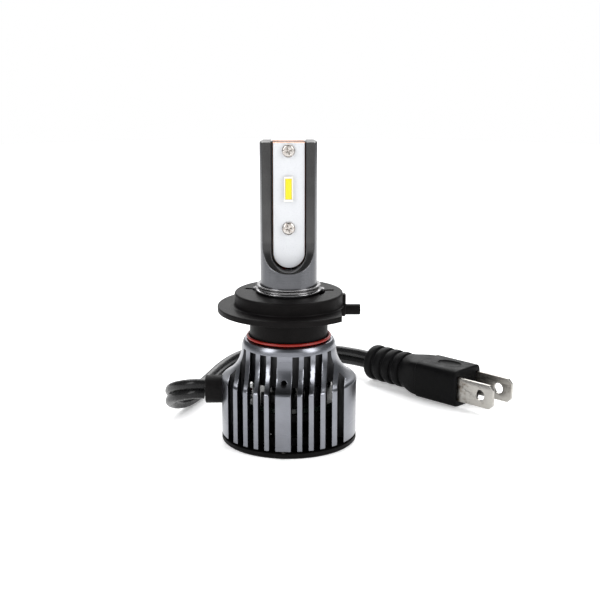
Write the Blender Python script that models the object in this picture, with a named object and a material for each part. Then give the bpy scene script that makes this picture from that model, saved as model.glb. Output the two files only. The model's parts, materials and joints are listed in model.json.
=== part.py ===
"""LED headlight bulb with a fan-cooled heat sink, a twist-off base adapter and a short plug lead.

Units are metres and +Z is up. The origin is the middle of the end cover's underside, on the
bulb's own axis. The lamp's lit sides face -Y and +Y.
"""
import math

import bmesh
import bpy
from mathutils import Matrix, Vector

MM = 0.001
QUARTER = 90.0              # degrees in a quarter turn

# ---- clearances ----------------------------------------------------------------------------------
FIT_GAP = 0.3 * MM          # between two pieces that touch
FINE_GAP = 0.1 * MM         # between small pieces that are soldered, glued or screwed together
RUNNING_GAP = 0.05 * MM     # fan shaft in its sleeve
TURNING_GAP = 0.3 * MM      # base adapter round the parts that it turns on
ROTOR_GAP = 0.5 * MM        # fan blades inside their frame
OVERCUT = 1.0 * MM          # how far a cutter runs past the face that it opens
OVERLAP = 0.4 * MM          # how far two shapes of one piece run into each other

# ---- heat sink and what closes it ----------------------------------------------------------------
SINK_RADIUS = 16.4 * MM
SHOULDER_HEIGHT = 15.6 * MM
RIM_HEIGHT = 25.3 * MM
RIM_WALL = 1.0 * MM
RING_DROP = 1.9 * MM        # height of the plain ring under the rim
RING_STEP = 0.7 * MM        # how far the ring's foot stands out beyond the rim
RECESS_DEPTH = 2.9 * MM
RIM_CHAMFER = 0.45 * MM
CORE_STEP = 0.3 * MM        # how far inside the rim the slots stop
WEB_HALF_WIDTH = 4.5 * MM   # solid band between the front slots and the rear slots
WIDE_RIB_WIDTH = 3.66 * MM
SLOT_WIDTH = 1.5 * MM
FIN_WIDTH = 1.13 * MM
SLOTS_PER_QUARTER = 5
SINK_TURN = -5.0            # degrees about Z
COVER_THICKNESS = 1.3 * MM
COVER_CHAMFER = 0.35 * MM
GRILLE_FIRST_RADIUS = 3.6 * MM
GRILLE_SLOT_WIDTH = 1.4 * MM
GRILLE_BAR_WIDTH = 0.9 * MM
GRILLE_RINGS = 3
GRILLE_SPOKES = 4
GRILLE_SPOKE_WIDTH = 1.6 * MM
TAB_WIDTH = 2.0 * MM
TAB_REACH = 0.4 * MM
COVER_SCREW_EDGE = 1.9 * MM # from the outer surface to each cover screw's axis
COVER_SCREW_HEAD_RADIUS = 1.3 * MM
COVER_SCREW_HEAD_HEIGHT = 0.5 * MM
COVER_SCREW_RADIUS = 0.8 * MM
COVER_SCREW_BITE = 5.0 * MM
COVER_SCREW_SINK = 0.15 * MM

# ---- electronics ---------------------------------------------------------------------------------
SINK_WALL = 3.6 * MM        # depth of the fins round the fan
LEDGE_WIDTH = 1.2 * MM
BOARD_LEDGE_HEIGHT = 11.3 * MM
DRIVER_BOARD_THICKNESS = 1.0 * MM
INDUCTOR_RADIUS = 2.6 * MM
INDUCTOR_HEIGHT = 3.2 * MM
INDUCTOR_WAIST = 0.65 * MM  # depth of the winding space
INDUCTOR_FLANGE = 0.7 * MM
INDUCTOR_PLACE = (5.6 * MM, 5.2 * MM)
CAPACITOR_RADIUS = 2.0 * MM
CAPACITOR_HEIGHT = 3.6 * MM
CAPACITOR_PLACE = (6.0 * MM, -4.6 * MM)
CHIP_SIZE = (5.0 * MM, 4.0 * MM, 1.4 * MM)
CHIP_PLACE = (-1.8 * MM, 6.4 * MM)
DIODE_SIZE = (4.2 * MM, 2.5 * MM, 1.9 * MM)
DIODE_PLACE = (-4.6 * MM, -6.2 * MM)
LEAD_RADIUS = 0.42 * MM
SUPPLY_LEAD_PLACE = 1.2 * MM    # each side of the gland's middle
SUPPLY_LEAD_RUN = 3.4 * MM
LED_LEAD_X = 1.1 * MM
LED_LEAD_Y = 0.85 * MM
LED_PAD_RISE = 2.2 * MM     # solder pads above the LED board's foot

# ---- fan -----------------------------------------------------------------------------------------
FRAME_WALL = 1.3 * MM
FRAME_PLATE_THICKNESS = 0.8 * MM
FRAME_PLATE_DROP = 0.6 * MM
FRAME_ARMS = 3
FRAME_ARM_WIDTH = 2.2 * MM
FRAME_WINDOWS = 6
FRAME_POST_WIDTH = 2.0 * MM
FRAME_SILL = 2.0 * MM       # plain wall below the windows
FRAME_LINTEL = 0.5 * MM     # plain wall between the windows and the plate
HUB_RADIUS = 6.4 * MM
HUB_WALL = 0.8 * MM
HUB_LIFT = 0.7 * MM         # fan hub above the end cover
HUB_HEIGHT = 4.9 * MM
MAGNET_THICKNESS = 0.6 * MM
POLE_GAP = 0.3 * MM
POLE_SHOE = 0.5 * MM
POLE_ARM_WIDTH = 0.9 * MM
SHOE_SHARE = 0.72           # part of the circle that the pole shoes cover
CORE_WALL = 0.6 * MM
CORE_LIFT = 1.2 * MM
CORE_THICKNESS = 2.0 * MM
POLES = 4
COIL_WALL = 0.5 * MM
SHAFT_RADIUS = 0.6 * MM
SLEEVE_WALL = 0.65 * MM
WASHER_THICKNESS = 0.3 * MM
HOLDER_WALL = 0.6 * MM
FRAME_DISC_WIDTH = 3.0 * MM # plate between the holder and the arms
FAN_BLADES = 7
BLADE_CHORD = 5.2 * MM
BLADE_PITCH = 50.0
BLADE_THICKNESS = 0.6 * MM
FAN_CIRCUIT_THICKNESS = 0.5 * MM
FAN_CIRCUIT_EDGE = 1.0 * MM # beyond the hub
FAN_LEAD_ANGLE = 60.0       # degrees, between two arms of the frame

# ---- lamp post -----------------------------------------------------------------------------------
POST_RADIUS = 6.77 * MM
POST_TOP = 72.7 * MM
POST_CHAMFER = 0.5 * MM
POST_BORE_RADIUS = 2.4 * MM
FLAT_OFFSET = 2.75 * MM     # from the axis to each flat
FLAT_RISE = 6.5 * MM        # from the board's foot to the foot of the flat
FLAT_RUNOUT_RADIUS = 8.1 * MM
WEB_THICKNESS = 2.0 * MM    # solid middle between the two boards
LED_BOARD_WIDTH = 7.6 * MM
LED_BOARD_THICKNESS = 1.0 * MM
LED_BOARD_FOOT = 42.8 * MM
BOARD_SIDE_GAP = 0.12 * MM
LIGHT_CENTRE = 25.1 * MM    # above the adapter's disc
LED_SIZE = (2.1 * MM, 0.55 * MM, 5.9 * MM)
PHOSPHOR_SIZE = (1.4 * MM, 0.2 * MM, 4.5 * MM)
LOWER_SCREW_DROP = 9.4 * MM # below the light centre
UPPER_SCREW_DROP = 2.0 * MM # below the post's top
BOARD_SCREW_HEAD_RADIUS = 1.55 * MM
BOARD_SCREW_HEAD_HEIGHT = 0.75 * MM
BOARD_SCREW_RADIUS = 0.7 * MM
BOARD_SCREW_LENGTH = 1.9 * MM

# ---- locking collar and base adapter -------------------------------------------------------------
ADAPTER_TOP = 36.7 * MM
DISC_RADIUS = 13.0 * MM
DISC_ROUNDING = 0.5 * MM
PLATE_RADIUS = 17.1 * MM
PLATE_TOP = 33.45 * MM
PLATE_THICKNESS = 1.4 * MM
PLATE_FLAT = 12.35 * MM     # straight edge of the plate, from the axis
NECK_WALL = 0.65 * MM       # outside the keyways
PIN_RADIUS = 1.3 * MM
PIN_REACH = 17.2 * MM
PIN_BOSS_RADIUS = 1.7 * MM
PIN_BOSS_REACH = 13.6 * MM
COLLAR_STEP = 1.13 * MM     # how far the collar stands out of the post
COLLAR_GROOVE_STEP = 0.58 * MM
COLLAR_HEIGHT = 1.65 * MM
LUG_STEP = 1.83 * MM        # how far the lugs reach out of the post
LUG_WIDTH = 2.0 * MM
LUG_DEPTH = 0.8 * MM        # below the collar
LUG_ROOT = 0.35 * MM        # height of the lug's foot in the collar's lip
LUG_ANGLES = (5.0, 85.0, 165.0)
TWIST_RANGE = 25.0
TRACK_DEPTH = 1.2 * MM
NOTCH_LENGTH = 2.15 * MM
NOTCH_WIDTH = 1.3 * MM
NOTCH_DEPTH = 0.4 * MM
RING_SECTION_RADIUS = 0.6 * MM
GRUB_HEIGHT = 17.6 * MM
GRUB_RADIUS = 0.65 * MM
GRUB_LENGTH = 3.0 * MM

# ---- lead and plug -------------------------------------------------------------------------------
GLAND_HEIGHT = 12.2 * MM
GLAND_HEAD_RADIUS = 3.4 * MM
GLAND_SHANK_RADIUS = 2.7 * MM
GLAND_SEAT = 0.5 * MM       # how deep the gland's head sits in the heat sink's side
GLAND_REACH = 3.9 * MM      # how far the gland stands out of the heat sink
CORD_RADIUS = 2.5 * MM
CORD_STEP = 5.0 * MM
PLUG_FACE = (47.2 * MM, 24.6 * MM)
PLUG_TURN = -44.2
PLUG_HEIGHT = 10.0 * MM
PLUG_WIDTH = 11.2 * MM
PLUG_BLOCK = 13.6 * MM
PLUG_TAPER = 6.1 * MM
PLUG_NECK_RADIUS = 4.25 * MM
PLUG_RIB_RADIUS = 4.9 * MM
PLUG_RIBS = 4
PLUG_RIB_PITCH = 3.2 * MM
PLUG_RIB_ROOM = 0.7 * MM
PLUG_RIB_SLOPE = 0.5 * MM
PLUG_ROUNDING = 0.7 * MM
BLOCK_SQUARENESS = 7.0      # 2 is an ellipse, more is squarer
RIB_SQUARENESS = 2.2
PRONG_SPACING = 8.2 * MM
PRONG_REACH = 11.2 * MM
PRONG_DEPTH = 4.0 * MM
PRONG_HEIGHT = 6.4 * MM
PRONG_THICKNESS = 0.8 * MM
PRONG_CHAMFER = 1.2 * MM
PRONG_HOLE_RADIUS = 1.4 * MM
PRONG_HOLE_PLACE = 7.1 * MM

# ---- fineness ------------------------------------------------------------------------------------
BIG_ROUND = 48
ROUND = 24
SMALL_ROUND = 12
FLARE_STEPS = 6
RUNOUT_STEPS = 6
FOOT_STEPS = 12
SEAL_SIDES = 8
TUBE_RESOLUTION = 2

# ---- heights and radii that follow from the sizes above ------------------------------------------
COLLAR_RADIUS = POST_RADIUS + COLLAR_STEP
COLLAR_LIP = 0.38 * MM
COLLAR_LIP_SLOPE = 0.2 * MM
COLLAR_LIP_STEP = 0.25 * MM # the upper lip is this much smaller than the lower
COLLAR_GROOVE_RADIUS = POST_RADIUS + COLLAR_GROOVE_STEP
LUG_REACH = POST_RADIUS + LUG_STEP
TRACK_RADIUS = LUG_REACH + TURNING_GAP / 2
NECK_RADIUS = TRACK_RADIUS + NECK_WALL
SINK_BOTTOM = COVER_THICKNESS + FIT_GAP
RECESS_FLOOR = RIM_HEIGHT - RECESS_DEPTH
RECESS_RADIUS = NECK_RADIUS + TURNING_GAP
RIM_RADIUS = RECESS_RADIUS + RIM_WALL
RING_RADIUS = RIM_RADIUS + RING_STEP
CORE_RADIUS = RIM_RADIUS - CORE_STEP
SLOT_TOP = RIM_HEIGHT - RING_DROP
FAN_SPACE_RADIUS = SINK_RADIUS - SINK_WALL
DRIVER_SPACE_RADIUS = FAN_SPACE_RADIUS - LEDGE_WIDTH
COVER_SCREW_CIRCLE = SINK_RADIUS - COVER_SCREW_EDGE
POST_BOTTOM = SHOULDER_HEIGHT + FIT_GAP
POST_SOCKET_RADIUS = POST_RADIUS + FIT_GAP
SLOT_PITCH = SLOT_WIDTH + FIN_WIDTH
BOARD_TOP = BOARD_LEDGE_HEIGHT - FIT_GAP
BOARD_BOTTOM = BOARD_TOP - DRIVER_BOARD_THICKNESS
BOARD_PARTS_BASE = BOARD_TOP + FINE_GAP
FRAME_BOTTOM = SINK_BOTTOM + FIT_GAP
FRAME_TOP = BOARD_BOTTOM - FIT_GAP
FRAME_RADIUS = FAN_SPACE_RADIUS - FIT_GAP
FRAME_INNER_RADIUS = FRAME_RADIUS - FRAME_WALL
FAN_RADIUS = FRAME_INNER_RADIUS - ROTOR_GAP
FAN_PLATE_UNDERSIDE = FRAME_TOP - FRAME_PLATE_DROP - FRAME_PLATE_THICKNESS
FAN_PLATE_TOP = FAN_PLATE_UNDERSIDE + FRAME_PLATE_THICKNESS
CIRCUIT_TOP = FAN_PLATE_UNDERSIDE - FINE_GAP
CIRCUIT_BOTTOM = CIRCUIT_TOP - FAN_CIRCUIT_THICKNESS
HUB_BOTTOM = COVER_THICKNESS + HUB_LIFT
HUB_FLOOR = HUB_BOTTOM + HUB_WALL
HUB_TOP = HUB_BOTTOM + HUB_HEIGHT
SLEEVE_BOTTOM = HUB_FLOOR + 2 * FIT_GAP
SLEEVE_BORE = SHAFT_RADIUS + RUNNING_GAP
SLEEVE_RADIUS = SLEEVE_BORE + SLEEVE_WALL
HOLDER_BORE = SLEEVE_RADIUS + FINE_GAP
HOLDER_RADIUS = HOLDER_BORE + HOLDER_WALL
MAGNET_RADIUS = HUB_RADIUS - HUB_WALL - FINE_GAP
POLE_RADIUS = MAGNET_RADIUS - MAGNET_THICKNESS - POLE_GAP
BOARD_BACK = WEB_THICKNESS / 2 + FIT_GAP
BOARD_FACE = BOARD_BACK + LED_BOARD_THICKNESS
CHANNEL_HALF_WIDTH = LED_BOARD_WIDTH / 2 + BOARD_SIDE_GAP
FLAT_START = LED_BOARD_FOOT + FLAT_RISE
LED_HEIGHT = ADAPTER_TOP + LIGHT_CENTRE
BOARD_SCREW_HEIGHTS = (LED_HEIGHT - LOWER_SCREW_DROP, POST_TOP - UPPER_SCREW_DROP)
ADAPTER_BOTTOM = RECESS_FLOOR + TURNING_GAP
ADAPTER_BORE = POST_RADIUS + TURNING_GAP
COLLAR_BOTTOM = ADAPTER_TOP + TURNING_GAP
TRACK_FLOOR = ADAPTER_TOP - TRACK_DEPTH
PIN_HEIGHT = PLATE_TOP - PIN_RADIUS
RING_PLACE = NECK_RADIUS + FINE_GAP + RING_SECTION_RADIUS
PLUG_AXIS_HEIGHT = PLUG_HEIGHT / 2
PLUG_RIB_START = PLUG_BLOCK + PLUG_TAPER

# The lead's route in millimetres: out of the gland, down to the surface, round behind the heat
# sink and up into the back of the plug.
CORD_ROUTE = (
    (-20.6, 0.0, 12.2),
    (-23.4, 0.0, 12.2),
    (-26.8, 2.3, 11.0),
    (-29.2, 6.4, 9.0),
    (-29.9, 11.5, 6.4),
    (-28.8, 16.8, 4.1),
    (-26.7, 22.0, 2.8),
    (-24.4, 27.8, 2.55),
    (-22.5, 34.0, 2.55),
    (-20.8, 40.6, 2.55),
    (-18.9, 47.4, 2.55),
    (-16.4, 54.0, 2.55),
    (-12.8, 60.0, 2.55),
    (-7.7, 64.7, 2.55),
    (-1.2, 66.8, 2.55),
    (5.3, 65.4, 2.8),
    (10.9, 60.9, 3.6),
    (15.6, 55.7, 4.5),
    (20.1, 51.0, 5.0),
    (23.7, 47.5, 5.0),
)

FINISHES = {
    "gunmetal": ((0.30, 0.31, 0.34), 0.35, 0.9),
    "post_aluminium": ((0.16, 0.16, 0.17), 0.4, 0.85),
    "polished_steel": ((0.62, 0.62, 0.64), 0.15, 1.0),
    "black_plastic": ((0.014, 0.013, 0.013), 0.45, 0.0),
    "black_rubber": ((0.012, 0.012, 0.012), 0.5, 0.0),
    "red_silicone": ((0.42, 0.015, 0.01), 0.4, 0.0),
    "white_mask": ((0.80, 0.81, 0.83), 0.4, 0.0),
    "white_ceramic": ((0.85, 0.85, 0.82), 0.35, 0.0),
    "phosphor": ((0.95, 0.80, 0.02), 0.5, 0.0),
    "nickel": ((0.55, 0.52, 0.47), 0.3, 1.0),
    "green_mask": ((0.02, 0.16, 0.06), 0.45, 0.0),
    "black_steel": ((0.05, 0.05, 0.05), 0.4, 0.9),
    "copper": ((0.60, 0.25, 0.12), 0.35, 1.0),
    "bronze": ((0.45, 0.28, 0.12), 0.45, 1.0),
    "ferrite": ((0.05, 0.05, 0.055), 0.6, 0.0),
    "red_wire": ((0.45, 0.02, 0.02), 0.45, 0.0),
    "black_wire": ((0.02, 0.02, 0.02), 0.45, 0.0),
}


# ---- scene and finishes --------------------------------------------------------------------------
def clear_scene():
    """Start from an empty scene."""
    for thing in list(bpy.data.objects):
        bpy.data.objects.remove(thing, do_unlink=True)


def finish(name):
    """The material of that name, made when it is first asked for."""
    made = bpy.data.materials.get(name)
    if made:
        return made
    colour, roughness, metallic = FINISHES[name]
    made = bpy.data.materials.new(name)
    made.use_nodes = True
    shader = made.node_tree.nodes["Principled BSDF"]
    shader.inputs["Base Color"].default_value = (*colour, 1.0)
    shader.inputs["Roughness"].default_value = roughness
    shader.inputs["Metallic"].default_value = metallic
    return made


# ---- ways of making a shape ----------------------------------------------------------------------
def add(name, shape, finish_name=None):
    """Turn a bmesh into a named object; without a finish it is a cutter."""
    bmesh.ops.recalc_face_normals(shape, faces=shape.faces)
    mesh = bpy.data.meshes.new(name)
    shape.to_mesh(mesh)
    shape.free()
    thing = bpy.data.objects.new(name, mesh)
    bpy.context.scene.collection.objects.link(thing)
    if finish_name:
        mesh.materials.append(finish(finish_name))
        mesh.shade_smooth()
        mesh.set_sharp_from_angle(angle=math.radians(30))
    else:
        thing.hide_render = True
        thing.display_type = "WIRE"
    return thing


def turned(name, outline, finish_name=None, sides=ROUND, middle=(0.0, 0.0)):
    """Spin an outline of (radius, height) points about a vertical axis.

    An outline that starts and ends on the axis stays open there; any other is closed.
    """
    shape = bmesh.new()
    line = [shape.verts.new((radius, 0.0, height)) for radius, height in outline]
    closed = outline[0][0] > 0.0 or outline[-1][0] > 0.0
    pairs = zip(line, line[1:] + line[:1]) if closed else zip(line, line[1:])
    edges = [shape.edges.new(pair) for pair in pairs]
    bmesh.ops.spin(
        shape, geom=line + edges, cent=(0, 0, 0), axis=(0, 0, 1),
        angle=math.tau, steps=sides, use_merge=True,
    )
    bmesh.ops.remove_doubles(shape, verts=shape.verts, dist=0.001 * MM)
    bmesh.ops.translate(shape, verts=shape.verts, vec=(*middle, 0.0))
    return add(name, shape, finish_name)


def disc_outline(radius, low, high):
    """Outline of a plain solid disc for turned()."""
    return [(0.0, low), (radius, low), (radius, high), (0.0, high)]


def ring_outline(inner, outer, low, high):
    """Outline of a plain ring for turned()."""
    return [(inner, low), (outer, low), (outer, high), (inner, high)]


def extrude(shape, outline, low, high, along="Z"):
    """Add a prism to a bmesh: the outline's two numbers are the other two axes, in X, Y, Z order."""
    def place(point, depth):
        first, second = point
        if along == "X":
            return (depth, first, second)
        if along == "Y":
            return (first, depth, second)
        return (first, second, depth)

    foot = shape.faces.new([shape.verts.new(place(point, low)) for point in outline])
    top = bmesh.ops.extrude_face_region(shape, geom=[foot])["geom"]
    shift = Vector(place((0.0, 0.0), high)) - Vector(place((0.0, 0.0), low))
    verts = [item for item in top if isinstance(item, bmesh.types.BMVert)]
    bmesh.ops.translate(shape, verts=verts, vec=shift)
    return list(foot.verts) + verts


def prism(name, outline, low, high, finish_name=None, along="Z"):
    """One extruded outline as an object."""
    shape = bmesh.new()
    extrude(shape, outline, low, high, along)
    return add(name, shape, finish_name)


def rectangle(first_low, first_high, second_low, second_high):
    """Four corners of a rectangle."""
    return [
        (first_low, second_low), (first_high, second_low),
        (first_high, second_high), (first_low, second_high),
    ]


def block(name, middle, size, finish_name=None):
    """A box by its middle and its full sizes."""
    x, y, z = middle
    wide, deep, tall = (length / 2 for length in size)
    return prism(name, rectangle(x - wide, x + wide, y - deep, y + deep), z - tall, z + tall, finish_name)


def polar(radius, degrees):
    """The point at a radius and an angle."""
    return (radius * math.cos(math.radians(degrees)), radius * math.sin(math.radians(degrees)))


def arc(radius, start, end, steps, middle=(0.0, 0.0)):
    """Points along an arc, angles in degrees."""
    places = [polar(radius, start + (end - start) * step / steps) for step in range(steps + 1)]
    return [(middle[0] + x, middle[1] + y) for x, y in places]


def circle(radius, middle=(0.0, 0.0), sides=SMALL_ROUND):
    """Points round a full circle, with a flat and not a corner facing each axis."""
    half = 180.0 / sides
    return arc(radius, half, 360.0 + half, sides, middle)[:-1]


def sector(inner, outer, start, end, steps):
    """Outline of part of a ring, angles in degrees."""
    return arc(outer, start, end, steps) + arc(inner, end, start, steps)


def change(target, operation, *tools):
    """Cut tools out of a target, or join them to it; joined tools are hidden as cutters are."""
    for tool in tools:
        step = target.modifiers.new(tool.name, "BOOLEAN")
        step.operation = operation
        step.solver = "EXACT"
        step.object = tool


def swing(shape, verts, degrees):
    """Turn some of a bmesh's points about Z."""
    spin = Matrix.Rotation(math.radians(degrees), 3, "Z")
    bmesh.ops.rotate(shape, verts=verts, cent=(0, 0, 0), matrix=spin)


def turn(thing, degrees, place=(0.0, 0.0, 0.0)):
    """Turn an object about Z and put it somewhere."""
    thing.rotation_euler = (0.0, 0.0, math.radians(degrees))
    thing.location = place


def tube(name, points, radius, finish_name):
    """A round tube along a list of points."""
    curve = bpy.data.curves.new(name, "CURVE")
    curve.dimensions = "3D"
    curve.bevel_depth = radius
    curve.bevel_resolution = TUBE_RESOLUTION
    curve.use_fill_caps = True
    line = curve.splines.new("POLY")
    line.points.add(len(points) - 1)
    for point, place in zip(line.points, points):
        point.co = (*place, 1.0)
    curve.materials.append(finish(finish_name))
    thing = bpy.data.objects.new(name, curve)
    bpy.context.scene.collection.objects.link(thing)
    return thing


def smooth_line(route, step):
    """Points about a step apart on a smooth curve through a route's points."""
    knots = [Vector(place) for place in route]
    knots = [2 * knots[0] - knots[1]] + knots + [2 * knots[-1] - knots[-2]]
    line = []
    for a, b, c, d in zip(knots, knots[1:], knots[2:], knots[3:]):
        count = max(1, round((c - b).length / step))
        for index in range(count):
            t = index / count
            line.append(
                0.5 * (2 * b + (c - a) * t + (2 * a - 5 * b + 4 * c - d) * t ** 2
                       + (3 * b - a - 3 * c + d) * t ** 3)
            )
    return line + [knots[-2]]


# ---- heat sink, cover and their fasteners --------------------------------------------------------
def rib_places():
    """Places of the cover screws, on the two wide ribs and the two side cheeks."""
    return [polar(COVER_SCREW_CIRCLE, SINK_TURN + quarter * QUARTER) for quarter in range(4)]


def flare_outline():
    """The hollow curve from the shoulder up to the plain ring."""
    across = SINK_RADIUS - RING_RADIUS
    rise = SLOT_TOP - SHOULDER_HEIGHT
    radius = (across ** 2 + rise ** 2) / (2 * across)
    sweep = math.degrees(math.asin(rise / radius))
    return arc(radius, 180.0 + sweep, 180.0, FLARE_STEPS, (RING_RADIUS + radius, SLOT_TOP))


def slot_cutter():
    """Parallel slots cut from the front and from the rear, stopping at the core."""
    shape = bmesh.new()
    outside = SINK_RADIUS + OVERCUT
    depths = ((WEB_HALF_WIDTH, outside), (-outside, -WEB_HALF_WIDTH))
    for index in range(SLOTS_PER_QUARTER):
        near = WIDE_RIB_WIDTH / 2 + index * SLOT_PITCH
        for low, high in ((near, near + SLOT_WIDTH), (-near - SLOT_WIDTH, -near)):
            for front, back in depths:
                extrude(shape, rectangle(low, high, front, back), -OVERCUT, SLOT_TOP)
    slots = add("slot_cutter", shape)
    turn(slots, SINK_TURN)
    core = turned("core_guard", disc_outline(CORE_RADIUS, -2 * OVERCUT, RIM_HEIGHT), sides=BIG_ROUND)
    change(slots, "DIFFERENCE", core)
    return slots


def heat_sink():
    """Turned aluminium body, hollow below for the fan and the driver, slotted for air."""
    outline = [
        (FAN_SPACE_RADIUS, SINK_BOTTOM), (SINK_RADIUS - FIT_GAP, SINK_BOTTOM),
        (SINK_RADIUS, SINK_BOTTOM + FIT_GAP),
        *flare_outline(),
        ((RIM_RADIUS + RING_RADIUS) / 2 + FINE_GAP, RIM_HEIGHT - RING_DROP / 2),
        (RIM_RADIUS, RIM_HEIGHT), (RECESS_RADIUS + RIM_CHAMFER, RIM_HEIGHT),
        (RECESS_RADIUS, RIM_HEIGHT - RIM_CHAMFER), (RECESS_RADIUS, RECESS_FLOOR),
        (POST_SOCKET_RADIUS, RECESS_FLOOR), (POST_SOCKET_RADIUS, SHOULDER_HEIGHT),
        (DRIVER_SPACE_RADIUS, SHOULDER_HEIGHT), (DRIVER_SPACE_RADIUS, BOARD_LEDGE_HEIGHT),
        (FAN_SPACE_RADIUS, BOARD_LEDGE_HEIGHT),
    ]
    sink = turned("heat_sink", outline, "gunmetal", BIG_ROUND)
    change(sink, "DIFFERENCE", slot_cutter())
    seat = SINK_RADIUS - GLAND_SEAT
    middle = (0.0, GLAND_HEIGHT)
    gland_hole = prism(
        "gland_hole", circle(GLAND_SHANK_RADIUS + FIT_GAP, middle, ROUND),
        -seat - OVERCUT, -DRIVER_SPACE_RADIUS + 2 * OVERCUT, along="X",
    )
    gland_seat = prism(
        "gland_seat", circle(GLAND_HEAD_RADIUS + FIT_GAP, middle, ROUND),
        -SINK_RADIUS - OVERCUT, -seat + FIT_GAP, along="X",
    )
    change(sink, "DIFFERENCE", gland_hole, gland_seat)
    for index, place in enumerate(rib_places()):
        pilot = prism(
            f"pilot_{index}", circle(COVER_SCREW_RADIUS + FIT_GAP, place), 0.0,
            SINK_BOTTOM + COVER_SCREW_BITE + FIT_GAP,
        )
        change(sink, "DIFFERENCE", pilot)
    grub_outline = disc_outline(GRUB_RADIUS + FINE_GAP, POST_RADIUS - OVERCUT, SINK_RADIUS)
    grub_hole = turned("grub_hole", grub_outline, sides=SMALL_ROUND)
    aim_out_of_rib(grub_hole)
    change(sink, "DIFFERENCE", grub_hole)
    return sink


def aim_out_of_rib(thing):
    """Lay a piece turned about Z down so that it points out through the front wide rib."""
    thing.rotation_euler = (0.0, math.radians(QUARTER), math.radians(SINK_TURN - QUARTER))
    thing.location = (0.0, 0.0, GRUB_HEIGHT)


def grub_screw():
    """Headless screw that clamps the post in the heat sink."""
    start = POST_RADIUS + FINE_GAP
    outline = disc_outline(GRUB_RADIUS, start, start + GRUB_LENGTH)
    aim_out_of_rib(turned("grub_screw", outline, "black_steel", SMALL_ROUND))


def end_cover():
    """Flat grille that closes the fan space and carries the bulb when it stands."""
    outline = [
        (0.0, 0.0), (SINK_RADIUS - COVER_CHAMFER, 0.0), (SINK_RADIUS, COVER_CHAMFER),
        (SINK_RADIUS, COVER_THICKNESS), (0.0, COVER_THICKNESS),
    ]
    cover = turned("end_cover", outline, "black_plastic", BIG_ROUND)
    tab = prism(
        "cover_tab",
        rectangle(-TAB_WIDTH / 2, TAB_WIDTH / 2, -SINK_RADIUS - TAB_REACH, -SINK_RADIUS + OVERCUT),
        COVER_CHAMFER, COVER_THICKNESS - FINE_GAP,
    )
    turn(tab, SINK_TURN)
    change(cover, "UNION", tab)
    shape = bmesh.new()
    for ring in range(GRILLE_RINGS):
        inner = GRILLE_FIRST_RADIUS + ring * (GRILLE_SLOT_WIDTH + GRILLE_BAR_WIDTH)
        middle = inner + GRILLE_SLOT_WIDTH / 2
        spoke = math.degrees(GRILLE_SPOKE_WIDTH / 2 / middle)
        for index in range(GRILLE_SPOKES):
            start = 360.0 / GRILLE_SPOKES * index
            end = start + 360.0 / GRILLE_SPOKES
            outline = sector(inner, inner + GRILLE_SLOT_WIDTH, start + spoke, end - spoke, 6)
            extrude(shape, outline, -OVERCUT, COVER_THICKNESS + OVERCUT)
    openings = add("grille_cutter", shape)
    turn(openings, SINK_TURN + 45.0)
    change(cover, "DIFFERENCE", openings)
    head_room = COVER_SCREW_HEAD_RADIUS + FIT_GAP
    for index, place in enumerate(rib_places()):
        seat_height = COVER_SCREW_SINK + COVER_SCREW_HEAD_HEIGHT + FINE_GAP
        hole = turned(
            f"cover_hole_{index}",
            [
                (0.0, -OVERCUT), (head_room, -OVERCUT), (head_room, seat_height),
                (COVER_SCREW_RADIUS + FIT_GAP, seat_height),
                (COVER_SCREW_RADIUS + FIT_GAP, COVER_THICKNESS + OVERCUT), (0.0, COVER_THICKNESS + OVERCUT),
            ],
            sides=SMALL_ROUND, middle=place,
        )
        change(cover, "DIFFERENCE", hole)


def cover_screws():
    """Four screws up through the cover into the ribs and cheeks."""
    head_top = COVER_SCREW_SINK + COVER_SCREW_HEAD_HEIGHT
    tip = SINK_BOTTOM + COVER_SCREW_BITE
    outline = [
        (0.0, COVER_SCREW_SINK), (COVER_SCREW_HEAD_RADIUS, COVER_SCREW_SINK),
        (COVER_SCREW_HEAD_RADIUS, head_top), (COVER_SCREW_RADIUS, head_top),
        (COVER_SCREW_RADIUS, tip - COVER_SCREW_RADIUS / 2), (COVER_SCREW_RADIUS / 2, tip), (0.0, tip),
    ]
    for index, place in enumerate(rib_places()):
        turned(f"cover_screw_{index + 1}", outline, "nickel", SMALL_ROUND, place)


# ---- driver --------------------------------------------------------------------------------------
def driver():
    """Round driver board under its ledge, with the parts that stand on it."""
    turned("driver_board", disc_outline(FRAME_RADIUS, BOARD_BOTTOM, BOARD_TOP), "green_mask", BIG_ROUND)
    base = BOARD_PARTS_BASE
    drum = INDUCTOR_RADIUS
    waist = drum - INDUCTOR_WAIST
    top = base + INDUCTOR_HEIGHT
    outline = [
        (0.0, base), (drum, base), (drum, base + INDUCTOR_FLANGE), (waist, base + INDUCTOR_FLANGE),
        (waist, top - INDUCTOR_FLANGE), (drum, top - INDUCTOR_FLANGE), (drum, top), (0.0, top),
    ]
    turned("driver_inductor", outline, "ferrite", ROUND, INDUCTOR_PLACE)
    outline = disc_outline(CAPACITOR_RADIUS, base, base + CAPACITOR_HEIGHT)
    turned("driver_capacitor", outline, "nickel", ROUND, CAPACITOR_PLACE)
    block("driver_chip", (*CHIP_PLACE, base + CHIP_SIZE[2] / 2), CHIP_SIZE, "ferrite")
    block("driver_diode", (*DIODE_PLACE, base + DIODE_SIZE[2] / 2), DIODE_SIZE, "ferrite")


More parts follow.
